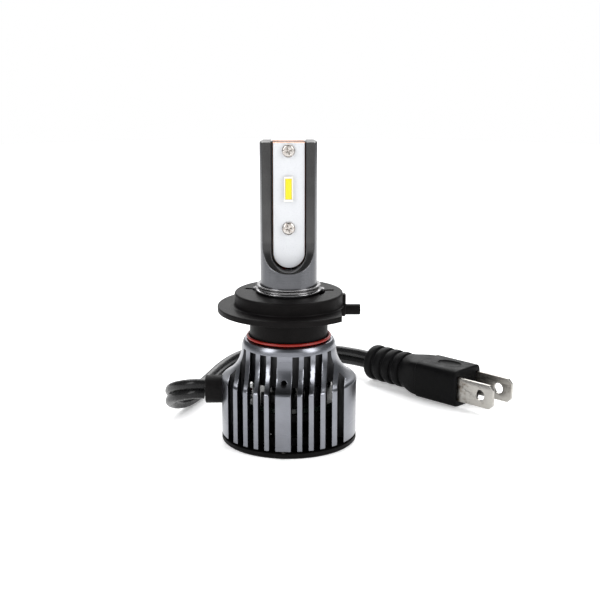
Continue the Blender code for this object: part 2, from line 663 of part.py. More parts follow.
def wires():
    """Supply wires from the gland to the board, and LED wires from the board up the post."""
    start = -DRIVER_SPACE_RADIUS - OVERCUT + FINE_GAP
    end = start + SUPPLY_LEAD_RUN
    for name, side in (("red", 1), ("black", -1)):
        y = side * SUPPLY_LEAD_PLACE
        route = [
            (start, y, GLAND_HEIGHT), (start + MM, y, GLAND_HEIGHT),
            (end - MM, y, GLAND_HEIGHT - FINE_GAP), (end, y, BOARD_PARTS_BASE + LEAD_RADIUS),
        ]
        tube(f"supply_wire_{name}", route, LEAD_RADIUS, f"{name}_wire")
    for face, side in (("front", -1), ("rear", 1)):
        for name, x in (("red", -LED_LEAD_X), ("black", LED_LEAD_X)):
            y = side * LED_LEAD_Y
            route = [(x, y, BOARD_PARTS_BASE), (x, y, LED_BOARD_FOOT + LED_PAD_RISE)]
            tube(f"led_wire_{face}_{name}", route, LEAD_RADIUS, f"{name}_wire")


# ---- fan -----------------------------------------------------------------------------------------
def fan_frame():
    """Fan housing: a windowed wall, a three-armed plate and the tube that holds the sleeve."""
    wall = turned(
        "fan_frame", ring_outline(FRAME_INNER_RADIUS, FRAME_RADIUS, FRAME_BOTTOM, FRAME_TOP),
        "black_plastic", BIG_ROUND,
    )
    shape = bmesh.new()
    post = math.degrees(FRAME_POST_WIDTH / 2 / FRAME_RADIUS)
    pitch = 360.0 / FRAME_WINDOWS
    for index in range(FRAME_WINDOWS):
        start = index * pitch + post
        end = (index + 1) * pitch - post
        outline = sector(FRAME_INNER_RADIUS - OVERCUT, FRAME_RADIUS + OVERCUT, start, end, 6)
        extrude(shape, outline, FRAME_BOTTOM + FRAME_SILL, FAN_PLATE_UNDERSIDE - FRAME_LINTEL)
    windows = add("window_cutter", shape)
    change(wall, "DIFFERENCE", windows)
    spider = bmesh.new()
    half = FRAME_ARM_WIDTH / 2
    disc_radius = HOLDER_RADIUS + FRAME_DISC_WIDTH
    arm_outline = rectangle(disc_radius - MM, FRAME_INNER_RADIUS + OVERLAP, -half, half)
    for index in range(FRAME_ARMS):
        arm = extrude(spider, arm_outline, FAN_PLATE_UNDERSIDE, FAN_PLATE_TOP)
        swing(spider, arm, 360.0 / FRAME_ARMS * index)
    arms = add("fan_arms", spider)
    holder = turned(
        "sleeve_holder",
        [
            (HOLDER_BORE, SLEEVE_BOTTOM), (HOLDER_RADIUS, SLEEVE_BOTTOM),
            (HOLDER_RADIUS, FAN_PLATE_UNDERSIDE),
            (disc_radius, FAN_PLATE_UNDERSIDE), (disc_radius, FAN_PLATE_TOP), (HOLDER_BORE, FAN_PLATE_TOP),
        ],
    )
    change(arms, "UNION", holder)
    change(wall, "UNION", arms)
    turned("fan_sleeve", ring_outline(SLEEVE_BORE, SLEEVE_RADIUS, SLEEVE_BOTTOM, FAN_PLATE_TOP), "bronze")


def stator():
    """Iron core with four poles, its coils, and the ring-shaped board above them."""
    core_inner = HOLDER_RADIUS + FINE_GAP
    core_ring = core_inner + CORE_WALL
    shoe_inner = POLE_RADIUS - POLE_SHOE
    low = HUB_FLOOR + CORE_LIFT
    high = low + CORE_THICKNESS
    outline = []
    for index in range(POLES):
        middle = 360.0 / POLES * index
        arm_at_ring = math.degrees(math.asin(POLE_ARM_WIDTH / 2 / core_ring))
        arm_at_shoe = math.degrees(math.asin(POLE_ARM_WIDTH / 2 / shoe_inner))
        shoe = SHOE_SHARE * 180.0 / POLES
        outline.append(polar(core_ring, middle - arm_at_ring))
        outline.append(polar(shoe_inner, middle - arm_at_shoe))
        outline.append(polar(shoe_inner, middle - shoe))
        outline += arc(POLE_RADIUS, middle - shoe, middle + shoe, 4)
        outline.append(polar(shoe_inner, middle + shoe))
        outline.append(polar(shoe_inner, middle + arm_at_shoe))
        outline.append(polar(core_ring, middle + arm_at_ring))
    core = prism("fan_core", outline, low, high, "black_steel")
    bore = turned("core_bore", disc_outline(core_inner, low - OVERCUT, high + OVERCUT))
    change(core, "DIFFERENCE", bore)
    inner = POLE_ARM_WIDTH / 2 + FINE_GAP
    outer = inner + COIL_WALL
    radial = (core_ring + FINE_GAP, math.sqrt(shoe_inner ** 2 - outer ** 2) - 2 * FINE_GAP)
    for index in range(POLES):
        shape = bmesh.new()
        extrude(
            shape, rectangle(-outer, outer, low - FINE_GAP - COIL_WALL, high + FINE_GAP + COIL_WALL),
            *radial, along="X",
        )
        coil = add(f"fan_coil_{index + 1}", shape, "copper")
        hole = prism(
            f"coil_hole_{index + 1}", rectangle(-inner, inner, low - FINE_GAP, high + FINE_GAP),
            radial[0] - OVERCUT, radial[1] + OVERCUT, along="X",
        )
        turn(coil, 360.0 / POLES * index)
        turn(hole, 360.0 / POLES * index)
        change(coil, "DIFFERENCE", hole)
    turned(
        "fan_circuit",
        ring_outline(HOLDER_RADIUS + FIT_GAP, HUB_RADIUS + FAN_CIRCUIT_EDGE, CIRCUIT_BOTTOM, CIRCUIT_TOP),
        "green_mask", ROUND,
    )
    for name, angle in (("red", FAN_LEAD_ANGLE - 4.0), ("black", FAN_LEAD_ANGLE + 4.0)):
        place = polar(HUB_RADIUS, angle)
        route = [(*place, CIRCUIT_TOP + FINE_GAP), (*place, BOARD_BOTTOM - FINE_GAP)]
        tube(f"fan_lead_{name}", route, LEAD_RADIUS / 2, f"{name}_wire")


def blade_corners(radius):
    """The four corners of one fan blade's section at a radius, about the +X direction."""
    pitch = math.radians(BLADE_PITCH)
    middle = (HUB_BOTTOM + HUB_TOP) / 2
    corners = []
    for along, across in ((-1, -1), (1, -1), (1, 1), (-1, 1)):
        tangent = along * BLADE_CHORD / 2 * math.cos(pitch) - across * BLADE_THICKNESS / 2 * math.sin(pitch)
        height = along * BLADE_CHORD / 2 * math.sin(pitch) + across * BLADE_THICKNESS / 2 * math.cos(pitch)
        angle = tangent / radius
        corners.append((radius * math.cos(angle), radius * math.sin(angle), middle + height))
    return corners


def rotor():
    """Impeller with its magnet ring, shaft and keeper washer, all turning about Z."""
    axle = bpy.data.objects.new("fan_axis", None)
    bpy.context.scene.collection.objects.link(axle)
    inside = HUB_RADIUS - HUB_WALL
    hub = turned(
        "fan_impeller",
        [
            (0.0, HUB_BOTTOM), (HUB_RADIUS - FIT_GAP, HUB_BOTTOM), (HUB_RADIUS, HUB_BOTTOM + FIT_GAP),
            (HUB_RADIUS, HUB_TOP), (inside, HUB_TOP), (inside, HUB_FLOOR), (0.0, HUB_FLOOR),
        ],
        "black_plastic", ROUND,
    )
    shape = bmesh.new()
    for index in range(FAN_BLADES):
        root = [shape.verts.new(corner) for corner in blade_corners(HUB_RADIUS - OVERLAP)]
        tip = [shape.verts.new(corner) for corner in blade_corners(FAN_RADIUS)]
        shape.faces.new(root)
        shape.faces.new(tip[::-1])
        for a in range(4):
            b = (a + 1) % 4
            shape.faces.new((root[a], tip[a], tip[b], root[b]))
        swing(shape, root + tip, 360.0 / FAN_BLADES * index)
    blades = add("fan_blades", shape)
    change(hub, "UNION", blades)
    low = HUB_FLOOR + FINE_GAP
    magnet_inner = MAGNET_RADIUS - MAGNET_THICKNESS
    magnet_outline = ring_outline(magnet_inner, MAGNET_RADIUS, low, HUB_TOP - FIT_GAP)
    magnet = turned("fan_magnet", magnet_outline, "ferrite")
    shaft = turned("fan_shaft", disc_outline(SHAFT_RADIUS, low, FRAME_TOP - FINE_GAP), "polished_steel")
    low = FAN_PLATE_TOP + FINE_GAP
    washer_outline = ring_outline(SHAFT_RADIUS + FINE_GAP, SLEEVE_RADIUS, low, low + WASHER_THICKNESS)
    washer = turned("fan_washer", washer_outline, "white_ceramic")
    for piece in (hub, blades, magnet, shaft, washer):
        piece.parent = axle


# ---- lamp post -----------------------------------------------------------------------------------
def flat_cutter(name, side):
    """Cuts one flat of the post, with the milling cutter's round run-out at its foot."""
    middle = FLAT_OFFSET + FLAT_RUNOUT_RADIUS
    past_post = POST_RADIUS + OVERCUT
    reach = math.degrees(math.acos((middle - past_post) / FLAT_RUNOUT_RADIUS))
    runout = arc(FLAT_RUNOUT_RADIUS, 180.0, 180.0 + reach, RUNOUT_STEPS, (middle, FLAT_START))
    outline = [(FLAT_OFFSET, POST_TOP + OVERCUT)] + runout + [(past_post, POST_TOP + OVERCUT)]
    outline = [(side * y, z) for y, z in outline]
    return prism(name, outline, -POST_RADIUS - OVERCUT, POST_RADIUS + OVERCUT, along="X")


def board_outline(half_width, foot, top):
    """Straight-sided board with a half-round foot, in X and Z."""
    foot_line = arc(half_width, 180.0, 360.0, FOOT_STEPS, (0.0, foot + half_width))
    return foot_line + [(half_width, top), (-half_width, top)]


def lamp_post():
    """Aluminium bar with two flats, two board channels and a bore for the wires."""
    bar = turned(
        "lamp_post",
        [
            (0.0, POST_BOTTOM), (POST_RADIUS - POST_CHAMFER, POST_BOTTOM),
            (POST_RADIUS, POST_BOTTOM + POST_CHAMFER), (POST_RADIUS, POST_TOP - POST_CHAMFER),
            (POST_RADIUS - POST_CHAMFER, POST_TOP), (0.0, POST_TOP),
        ],
        "post_aluminium", BIG_ROUND,
    )
    change(bar, "DIFFERENCE", flat_cutter("flat_front", -1), flat_cutter("flat_rear", 1))
    foot = LED_BOARD_FOOT - BOARD_SIDE_GAP
    channel = board_outline(CHANNEL_HALF_WIDTH, foot, POST_TOP + OVERCUT)
    half_web = WEB_THICKNESS / 2
    front = prism("channel_front", channel, -POST_RADIUS - OVERCUT, -half_web, along="Y")
    rear = prism("channel_rear", channel, half_web, POST_RADIUS + OVERCUT, along="Y")
    bore_top = LED_BOARD_FOOT + LED_PAD_RISE + FIT_GAP
    bore = turned("post_bore", disc_outline(POST_BORE_RADIUS, POST_BOTTOM - OVERCUT, bore_top))
    change(bar, "DIFFERENCE", front, rear, bore)
    for index, height in enumerate(BOARD_SCREW_HEIGHTS):
        outline = circle(BOARD_SCREW_RADIUS + FIT_GAP, (0.0, height))
        hole = prism(f"web_hole_{index}", outline, -half_web - OVERCUT, half_web + OVERCUT, along="Y")
        change(bar, "DIFFERENCE", hole)


def led_side(face, side):
    """One lit side: board, LED, phosphor strip and two screws; side is -1 at the front."""
    top = POST_TOP - FINE_GAP / 2
    outline = board_outline(LED_BOARD_WIDTH / 2, LED_BOARD_FOOT, top)
    back, front = sorted((side * BOARD_BACK, side * BOARD_FACE))
    board = prism(f"led_board_{face}", outline, back, front, "white_mask", along="Y")
    for index, height in enumerate(BOARD_SCREW_HEIGHTS):
        outline = circle(BOARD_SCREW_RADIUS + FIT_GAP, (0.0, height))
        hole = prism(f"board_hole_{face}_{index}", outline, back - OVERCUT, front + OVERCUT, along="Y")
        change(board, "DIFFERENCE", hole)
    led_back = BOARD_FACE + FINE_GAP
    led_middle = side * (led_back + LED_SIZE[1] / 2)
    block(f"led_package_{face}", (0.0, led_middle, LED_HEIGHT), LED_SIZE, "white_ceramic")
    strip_middle = side * (led_back + LED_SIZE[1] + FINE_GAP / 2 + PHOSPHOR_SIZE[1] / 2)
    block(f"led_phosphor_{face}", (0.0, strip_middle, LED_HEIGHT), PHOSPHOR_SIZE, "phosphor")
    seat = BOARD_FACE + FINE_GAP
    head = BOARD_SCREW_HEAD_HEIGHT
    outline = [
        (0.0, seat - BOARD_SCREW_LENGTH), (BOARD_SCREW_RADIUS, seat - BOARD_SCREW_LENGTH),
        (BOARD_SCREW_RADIUS, seat), (BOARD_SCREW_HEAD_RADIUS, seat),
        (BOARD_SCREW_HEAD_RADIUS, seat + 0.55 * head), (0.8 * BOARD_SCREW_HEAD_RADIUS, seat + 0.85 * head),
        (0.0, seat + head),
    ]
    for label, height in zip(("lower", "upper"), BOARD_SCREW_HEIGHTS):
        screw = turned(f"board_screw_{face}_{label}", outline, "nickel", SMALL_ROUND)
        screw.rotation_euler = (math.radians(-side * QUARTER), 0.0, 0.0)
        screw.location = (0.0, 0.0, height)


# ---- collar, adapter and seal --------------------------------------------------------------------
def locking_collar():
    """Polished ring on the post, with three lugs that reach down into the adapter's tracks."""
    inner = POST_RADIUS + FIT_GAP
    low = COLLAR_BOTTOM
    top = low + COLLAR_HEIGHT
    upper_lip = COLLAR_RADIUS - COLLAR_LIP_STEP
    outline = [
        (inner, low), (COLLAR_RADIUS - FINE_GAP, low), (COLLAR_RADIUS, low + FINE_GAP),
        (COLLAR_RADIUS, low + COLLAR_LIP), (COLLAR_GROOVE_RADIUS, low + COLLAR_LIP + COLLAR_LIP_SLOPE),
        (COLLAR_GROOVE_RADIUS, top - COLLAR_LIP - COLLAR_LIP_SLOPE), (upper_lip, top - COLLAR_LIP),
        (upper_lip, top - FINE_GAP), (upper_lip - FINE_GAP, top), (inner, top),
    ]
    collar = turned("locking_collar", outline, "polished_steel", BIG_ROUND)
    shape = bmesh.new()
    inside = POST_RADIUS + 1.2 * FIT_GAP
    for angle in LUG_ANGLES:
        half = math.degrees(LUG_WIDTH / 2 / LUG_REACH)
        outline = sector(inside, LUG_REACH, angle - half, angle + half, 2)
        extrude(shape, outline, low - LUG_DEPTH, low + LUG_ROOT)
    lugs = add("collar_lugs", shape)
    change(collar, "UNION", lugs)


def base_adapter():
    """Headlamp fitting: disc, seating plate with a straight edge, locating pin and neck."""
    axis = bpy.data.objects.new("adapter_axis", None)
    bpy.context.scene.collection.objects.link(axis)
    plate_bottom = PLATE_TOP - PLATE_THICKNESS
    neck_chamfer = FIT_GAP
    outline = [
        (ADAPTER_BORE, ADAPTER_BOTTOM), (NECK_RADIUS - neck_chamfer, ADAPTER_BOTTOM),
        (NECK_RADIUS, ADAPTER_BOTTOM + neck_chamfer), (NECK_RADIUS, plate_bottom),
        (PLATE_RADIUS - FIT_GAP, plate_bottom), (PLATE_RADIUS, plate_bottom + FIT_GAP),
        (PLATE_RADIUS, PLATE_TOP - FIT_GAP), (PLATE_RADIUS - FIT_GAP, PLATE_TOP),
        (DISC_RADIUS, PLATE_TOP), (DISC_RADIUS, ADAPTER_TOP - DISC_ROUNDING),
        (DISC_RADIUS - 0.3 * DISC_ROUNDING, ADAPTER_TOP - 0.3 * DISC_ROUNDING),
        (DISC_RADIUS - DISC_ROUNDING, ADAPTER_TOP), (ADAPTER_BORE, ADAPTER_TOP),
    ]
    adapter = turned("base_adapter", outline, "black_plastic", BIG_ROUND)
    flat = prism(
        "plate_flat", rectangle(PLATE_FLAT, PLATE_RADIUS + OVERCUT, -PLATE_RADIUS, PLATE_RADIUS),
        plate_bottom - OVERCUT, PLATE_TOP,
    )
    pin = turned(
        "locating_pin",
        [
            (0.0, PLATE_FLAT - OVERCUT), (PIN_BOSS_RADIUS, PLATE_FLAT - OVERCUT),
            (PIN_BOSS_RADIUS, PIN_BOSS_REACH), (PIN_RADIUS, PIN_BOSS_REACH),
            (PIN_RADIUS, PIN_REACH - FIT_GAP), (PIN_RADIUS - FIT_GAP, PIN_REACH), (0.0, PIN_REACH),
        ],
    )
    pin.rotation_euler = (0.0, math.radians(QUARTER), 0.0)
    pin.location = (0.0, 0.0, PIN_HEIGHT)
    change(adapter, "DIFFERENCE", flat)
    change(adapter, "UNION", pin)
    tracks = bmesh.new()
    keyways = bmesh.new()
    notches = bmesh.new()
    half = math.degrees((LUG_WIDTH / 2 + TURNING_GAP) / LUG_REACH)
    for angle in LUG_ANGLES:
        key = angle - TWIST_RANGE
        inside = ADAPTER_BORE - OVERLAP
        track = sector(inside, TRACK_RADIUS, key - half, angle + half, 6)
        extrude(tracks, track, TRACK_FLOOR, ADAPTER_TOP + OVERCUT)
        keyway = sector(inside, TRACK_RADIUS, key - half, key + half, 2)
        extrude(keyways, keyway, ADAPTER_BOTTOM - OVERCUT, ADAPTER_TOP + OVERCUT)
        notch_outline = rectangle(
            TRACK_RADIUS - OVERLAP, TRACK_RADIUS + NOTCH_LENGTH, -NOTCH_WIDTH / 2, NOTCH_WIDTH / 2
        )
        notch = extrude(notches, notch_outline, ADAPTER_TOP - NOTCH_DEPTH, ADAPTER_TOP + OVERCUT)
        swing(notches, notch, angle)
    cutters = (add("track_cutter", tracks), add("keyway_cutter", keyways), add("notch_cutter", notches))
    change(adapter, "DIFFERENCE", *cutters)
    for piece in (adapter, flat, pin, *cutters):
        piece.parent = axis


def neck_ring():
    """Seal round the adapter's neck, lying on the heat sink's rim."""
    height = RIM_HEIGHT + FINE_GAP + RING_SECTION_RADIUS
    outline = circle(RING_SECTION_RADIUS, (RING_PLACE, height), SEAL_SIDES)
    turned("neck_seal", outline, "red_silicone", BIG_ROUND)


# ---- gland, lead and plug ------------------------------------------------------------------------
def cable_gland():
    """Rubber bush that leads the cord out of the heat sink's side."""
    seat = -SINK_RADIUS + GLAND_SEAT
    inner_end = -DRIVER_SPACE_RADIUS - OVERCUT
    outer_end = -SINK_RADIUS - GLAND_REACH
    outline = [
        (0.0, inner_end), (GLAND_SHANK_RADIUS, inner_end), (GLAND_SHANK_RADIUS, seat),
        (GLAND_HEAD_RADIUS, seat), (GLAND_HEAD_RADIUS, outer_end + FIT_GAP),
        (GLAND_HEAD_RADIUS - FIT_GAP, outer_end), (0.0, outer_end),
    ]
    gland = turned("cable_gland", outline, "black_rubber", ROUND)
    gland.rotation_euler = (0.0, math.radians(QUARTER), 0.0)
    gland.location = (0.0, 0.0, GLAND_HEIGHT)


def plug_sections():
    """Half width, half height and squareness of the plug at points back from its face."""
    half_width = PLUG_WIDTH / 2
    half_height = PLUG_HEIGHT / 2
    sections = [
        (0.0, half_width - PLUG_ROUNDING, half_height - PLUG_ROUNDING, BLOCK_SQUARENESS),
        (PLUG_ROUNDING, half_width, half_height, BLOCK_SQUARENESS),
        (PLUG_BLOCK, half_width, half_height, BLOCK_SQUARENESS),
        (PLUG_RIB_START, PLUG_NECK_RADIUS, PLUG_NECK_RADIUS, RIB_SQUARENESS),
    ]
    for rib in range(PLUG_RIBS):
        start = PLUG_RIB_START + rib * PLUG_RIB_PITCH + PLUG_RIB_ROOM
        end = PLUG_RIB_START + (rib + 1) * PLUG_RIB_PITCH
        for back, radius in (
            (start, PLUG_NECK_RADIUS), (start + PLUG_RIB_SLOPE, PLUG_RIB_RADIUS),
            (end - PLUG_RIB_SLOPE, PLUG_RIB_RADIUS), (end, PLUG_NECK_RADIUS),
        ):
            sections.append((back, radius, radius, RIB_SQUARENESS))
    return sections


def on_plug(thing):
    """Put a piece made about the plug's own axis where the plug lies."""
    turn(thing, PLUG_TURN, (*PLUG_FACE, PLUG_AXIS_HEIGHT))


def plug():
    """Moulded plug with strain-relief ribs, and its two flat prongs."""
    shape = bmesh.new()
    rings = []
    for back, half_width, half_height, square in plug_sections():
        ring = []
        for index in range(ROUND):
            angle = math.tau * (index + 0.5) / ROUND
            c, s = math.cos(angle), math.sin(angle)
            y = half_width * math.copysign(abs(c) ** (2 / square), c)
            z = half_height * math.copysign(abs(s) ** (2 / square), s)
            ring.append(shape.verts.new((-back, y, z)))
        rings.append(ring)
    shape.faces.new(rings[0])
    shape.faces.new(rings[-1][::-1])
    for ring, following in zip(rings, rings[1:]):
        for a in range(ROUND):
            b = (a + 1) % ROUND
            shape.faces.new((ring[a], ring[b], following[b], following[a]))
    body = add("plug_body", shape, "black_plastic")
    on_plug(body)
    half = PRONG_HEIGHT / 2
    cut = PRONG_CHAMFER
    for name, side in (("near", -1), ("far", 1)):
        middle = side * PRONG_SPACING / 2
        near_face = middle - PRONG_THICKNESS / 2
        far_face = middle + PRONG_THICKNESS / 2
        root = -PRONG_DEPTH
        outline = [
            (root, -half), (PRONG_REACH - cut, -half), (PRONG_REACH, -half + cut),
            (PRONG_REACH, half - cut), (PRONG_REACH - cut, half), (root, half),
        ]
        prong = prism(f"plug_prong_{name}", outline, near_face, far_face, "nickel", along="Y")
        eye_outline = circle(PRONG_HOLE_RADIUS, (PRONG_HOLE_PLACE, 0.0))
        eye = prism(f"prong_eye_{name}", eye_outline, near_face - OVERCUT, far_face + OVERCUT, along="Y")
        on_plug(eye)
        on_plug(prong)
        change(prong, "DIFFERENCE", eye)
        pocket = prism(
            f"prong_pocket_{name}",
            rectangle(root - FINE_GAP, OVERCUT, -half - FINE_GAP, half + FINE_GAP),
            near_face - FINE_GAP, far_face + FINE_GAP, along="Y",
        )
        on_plug(pocket)
        change(body, "DIFFERENCE", pocket)


def supply_cord():
    """The lead, a tube along the route's smooth line."""
    line = smooth_line([Vector(place) * MM for place in CORD_ROUTE], CORD_STEP)
    tube("supply_cord", line, CORD_RADIUS, "black_rubber")


def build():
    """Make every piece of the bulb."""
    clear_scene()
    heat_sink()
    grub_screw()
    end_cover()
    cover_screws()
    driver()
    wires()
    fan_frame()
    stator()
    rotor()
    lamp_post()
    led_side("front", -1)
    led_side("rear", 1)
    locking_collar()
    base_adapter()
    neck_ring()
    cable_gland()
    supply_cord()
    plug()


build()
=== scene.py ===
# %% [markdown]
# # An LED headlight bulb, cell by cell
# The bulb stands on a round end cover. Above it are a slotted aluminium heat sink with a fan
# inside, a black plastic base adapter that twists into a headlamp, and a lamp post with an LED
# board on each side. A short twin lead leaves the heat sink and ends in a two-pin plug.
# The imported model fixes every size, place and joint. This file only makes the surfaces that
# are seen, so each new piece is built where its imported solid already stands.
#
# We start by loading the imported model.

# %% Load the imported model
import json
import math

import bmesh
import bpy
from mathutils import Matrix, Vector

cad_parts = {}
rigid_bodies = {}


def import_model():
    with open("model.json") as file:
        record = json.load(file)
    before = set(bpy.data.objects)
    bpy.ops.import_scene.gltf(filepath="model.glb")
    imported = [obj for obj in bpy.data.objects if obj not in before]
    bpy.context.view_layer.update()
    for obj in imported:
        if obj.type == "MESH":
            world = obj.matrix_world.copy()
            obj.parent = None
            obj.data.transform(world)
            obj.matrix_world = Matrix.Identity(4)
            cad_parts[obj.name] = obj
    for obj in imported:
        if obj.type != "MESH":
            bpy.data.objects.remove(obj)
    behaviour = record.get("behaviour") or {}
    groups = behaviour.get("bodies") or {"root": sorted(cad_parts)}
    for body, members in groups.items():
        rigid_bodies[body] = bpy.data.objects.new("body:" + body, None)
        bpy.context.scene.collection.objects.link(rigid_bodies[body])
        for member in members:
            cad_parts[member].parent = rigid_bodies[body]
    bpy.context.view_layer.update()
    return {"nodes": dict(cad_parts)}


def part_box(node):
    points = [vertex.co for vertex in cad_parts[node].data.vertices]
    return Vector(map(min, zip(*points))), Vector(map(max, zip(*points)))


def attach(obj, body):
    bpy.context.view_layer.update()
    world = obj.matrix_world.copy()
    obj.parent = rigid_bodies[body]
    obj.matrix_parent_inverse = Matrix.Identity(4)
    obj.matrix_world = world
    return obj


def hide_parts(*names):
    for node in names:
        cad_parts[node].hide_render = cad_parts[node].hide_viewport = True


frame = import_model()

MM = 0.001

# %% [markdown]
# ## The camera
# A small product is best seen from far off through a long lens: its upright edges stay upright.
# The camera stands in front of the bulb, a little above it, and looks slightly down and a touch
# to the side, which leaves room for the plug. Its place is given in millimetres.

# %% The camera
CAMERA_PLACE = (0.0, -307.9 * MM, 110.5 * MM)
CAMERA_DIP = 13.87          # degrees below the horizon
CAMERA_YAW = -0.503         # degrees towards the plug
CAMERA_LENS = 79.24         # for a sensor 36 wide

lens = bpy.data.cameras.new("studio_camera")
lens.lens = CAMERA_LENS
lens.sensor_width = 36.0
lens.clip_start = 10 * MM


def place_object(name, data, place=(0.0, 0.0, 0.0), turn=(0.0, 0.0, 0.0)):
    """Put a camera, a light or a mesh into the scene."""
    thing = bpy.data.objects.new(name, data)
    thing.location = place
    thing.rotation_euler = turn
    bpy.context.scene.collection.objects.link(thing)
    return thing


tilt = (math.radians(90.0 - CAMERA_DIP), 0.0, math.radians(CAMERA_YAW))
bpy.context.scene.camera = place_object("studio_camera", lens, CAMERA_PLACE, tilt)
print("camera", round(Vector(CAMERA_PLACE).length / MM), "mm from the bulb's foot")

# %% [markdown]
# ## Helpers for finishes
# Every finish is a Principled shader with a few pattern nodes in front of it. The patterns read
# Object coordinates, which are metres on the piece itself, so they never slide when a piece
# moves. A Mapping node turns metres into millimetres, and noise scales then read as
# "about this many specks in a millimetre".

# %% Nodes and patterns
def new_finish(name, colour, roughness, metallic=0.0, **sockets):
    """A Principled finish; further sockets are named with _ for a space."""
    made = bpy.data.materials.new(name)
    made.use_nodes = True
    shader = made.node_tree.nodes["Principled BSDF"]
    shader.inputs["Base Color"].default_value = (*colour, 1.0)
    shader.inputs["Roughness"].default_value = roughness
    shader.inputs["Metallic"].default_value = metallic
    for socket, value in sockets.items():
        shader.inputs[socket.replace("_", " ")].default_value = value
    made.diffuse_color = (*colour, 1.0)
    print("finish:", name)
    return made


def node(tree, kind, settings=None, **inputs):
    """Add a node, set its properties, and feed its inputs with values, outputs or other nodes."""
    made = tree.nodes.new(kind)
    for key, value in (settings or {}).items():
        setattr(made, key, value)
    for label, value in inputs.items():
        key = int(label[1:]) if label[1:].isdigit() else label.replace("_", " ")
        socket = made.inputs[key]
        if isinstance(value, bpy.types.Node):
            value = value.outputs[0]
        if isinstance(value, bpy.types.NodeSocket):
            tree.links.new(value, socket)
        else:
            socket.default_value = value
    return made


def millimetres(finish, stretch=(1.0, 1.0, 1.0)):
    """Object coordinates in millimetres, stretched where a grain runs one way."""
    tree = finish.node_tree
    place = node(tree, "ShaderNodeTexCoord").outputs["Object"]
    scale = tuple(1000.0 * part for part in stretch)
    return node(tree, "ShaderNodeMapping", Vector=place, Scale=scale).outputs["Vector"]


def maths(tree, operation, *values):
    """A maths node on values or outputs."""
    inputs = {f"_{index}": value for index, value in enumerate(values)}
    return node(tree, "ShaderNodeMath", {"operation": operation}, **inputs)


def round_the_axis(finish):
    """Radius and height in millimetres, the same all the way round, as a lathe leaves a part."""
    tree = finish.node_tree
    parts = node(tree, "ShaderNodeSeparateXYZ", Vector=millimetres(finish))
    level = node(tree, "ShaderNodeCombineXYZ", X=parts.outputs["X"], Y=parts.outputs["Y"])
    radius = node(tree, "ShaderNodeVectorMath", {"operation": "LENGTH"}, _0=level)
    return node(tree, "ShaderNodeCombineXYZ", X=radius.outputs["Value"], Z=parts.outputs["Z"])


def specks(finish, where, scale, detail=2.0, roughness=0.5):
    """Noise from 0 to 1 at a place."""
    made = node(finish.node_tree, "ShaderNodeTexNoise", Vector=where, Scale=scale, Detail=detail)
    made.inputs["Roughness"].default_value = roughness
    return made.outputs[0]


def spread(finish, factor, low, high, start=0.35, end=0.65):
    """Noise pulled out to run from low to high."""
    return node(
        finish.node_tree, "ShaderNodeMapRange", Value=factor, From_Min=start, From_Max=end,
        To_Min=low, To_Max=high,
    ).outputs["Result"]


print("pattern helpers ready")

# %% Colours, gloss and relief
def blend_colours(finish, factor, first, second):
    """Colour between two colours or colour outputs."""
    first, second = [
        (*tone, 1.0) if isinstance(tone, tuple) else tone for tone in (first, second)]
    mix = node(
        finish.node_tree, "ShaderNodeMix", {"data_type": "RGBA"}, Factor=factor, _6=first, _7=second)
    return mix.outputs[2]


def feed(finish, socket, value):
    """Join a pattern to one of the shader's sockets."""
    finish.node_tree.links.new(value, finish.node_tree.nodes["Principled BSDF"].inputs[socket])


def relief(finish, height, depth, under=None):
    """Raise a pattern by a depth in metres, on top of an earlier relief if there is one."""
    made = node(finish.node_tree, "ShaderNodeBump", Height=height, Distance=depth, Strength=1.0)
    if under:
        finish.node_tree.links.new(under, made.inputs["Normal"])
    feed(finish, "Normal", made.outputs["Normal"])
    return made.outputs["Normal"]


def clouded(name, first, second, gloss, cloud, glint=None, reliefs=(), tones=None, metallic=0.0,
            stretch=(1.0, 1.0, 1.0), **sockets):
    """Two tones in clouds, with gloss and reliefs from the clouds or from specks of their own.

    Specks are (scale, detail, roughness). A relief is a depth in millimetres, then its specks.
    """
    made = new_finish(name, second, gloss[0], metallic, **sockets)
    place = millimetres(made, stretch)
    clouds = specks(made, place, *cloud)
    mixed = spread(made, clouds, *tones) if tones else clouds
    feed(made, "Base Color", blend_colours(made, mixed, first, second))
    shine = specks(made, place, *glint) if glint else clouds
    feed(made, "Roughness", spread(made, shine, *gloss))
    under = None
    for depth, *size in reliefs:
        height = specks(made, place, *size) if size else clouds
        under = relief(made, height, depth * MM, under)
    return made


print("finish helpers ready")

# %% [markdown]
# ## Helpers for shapes
# Most of this bulb came off a lathe or out of a mould, so two ways of making a solid go a long
# way: turn an outline about an axis, or push an outline along one. Real corners are never
# perfectly sharp, and it is the small rounding that catches the light. `eased` therefore lets
# each corner of an outline say how much it is rounded. Solids are then cut with Boolean
# modifiers, and `settle` turns the result into a plain mesh.

# %% Outlines
def eased(corners, steps=4):
    """Outline whose corners, given as (across, up, ease), are rounded by their own ease."""
    line = []
    for index, corner in enumerate(corners):
        here = Vector(corner[:2])
        if len(corner) < 3:
            line.append(tuple(here))
            continue
        before = Vector(corners[index - 1][:2])
        after = Vector(corners[(index + 1) % len(corners)][:2])
        start = here + (before - here).normalized() * corner[2]
        end = here + (after - here).normalized() * corner[2]
        for step in range(steps + 1):
            t = step / steps
            line.append(tuple(start * (1 - t) ** 2 + here * 2 * t * (1 - t) + end * t ** 2))
    return line


def polar(radius, degrees):
    """The point at a radius and an angle."""
    return (radius * math.cos(math.radians(degrees)), radius * math.sin(math.radians(degrees)))


def arc(radius, start, end, steps, middle=(0.0, 0.0)):
    """Points along an arc, angles in degrees."""
    places = [polar(radius, start + (end - start) * step / steps) for step in range(steps + 1)]
    return [(middle[0] + x, middle[1] + y) for x, y in places]


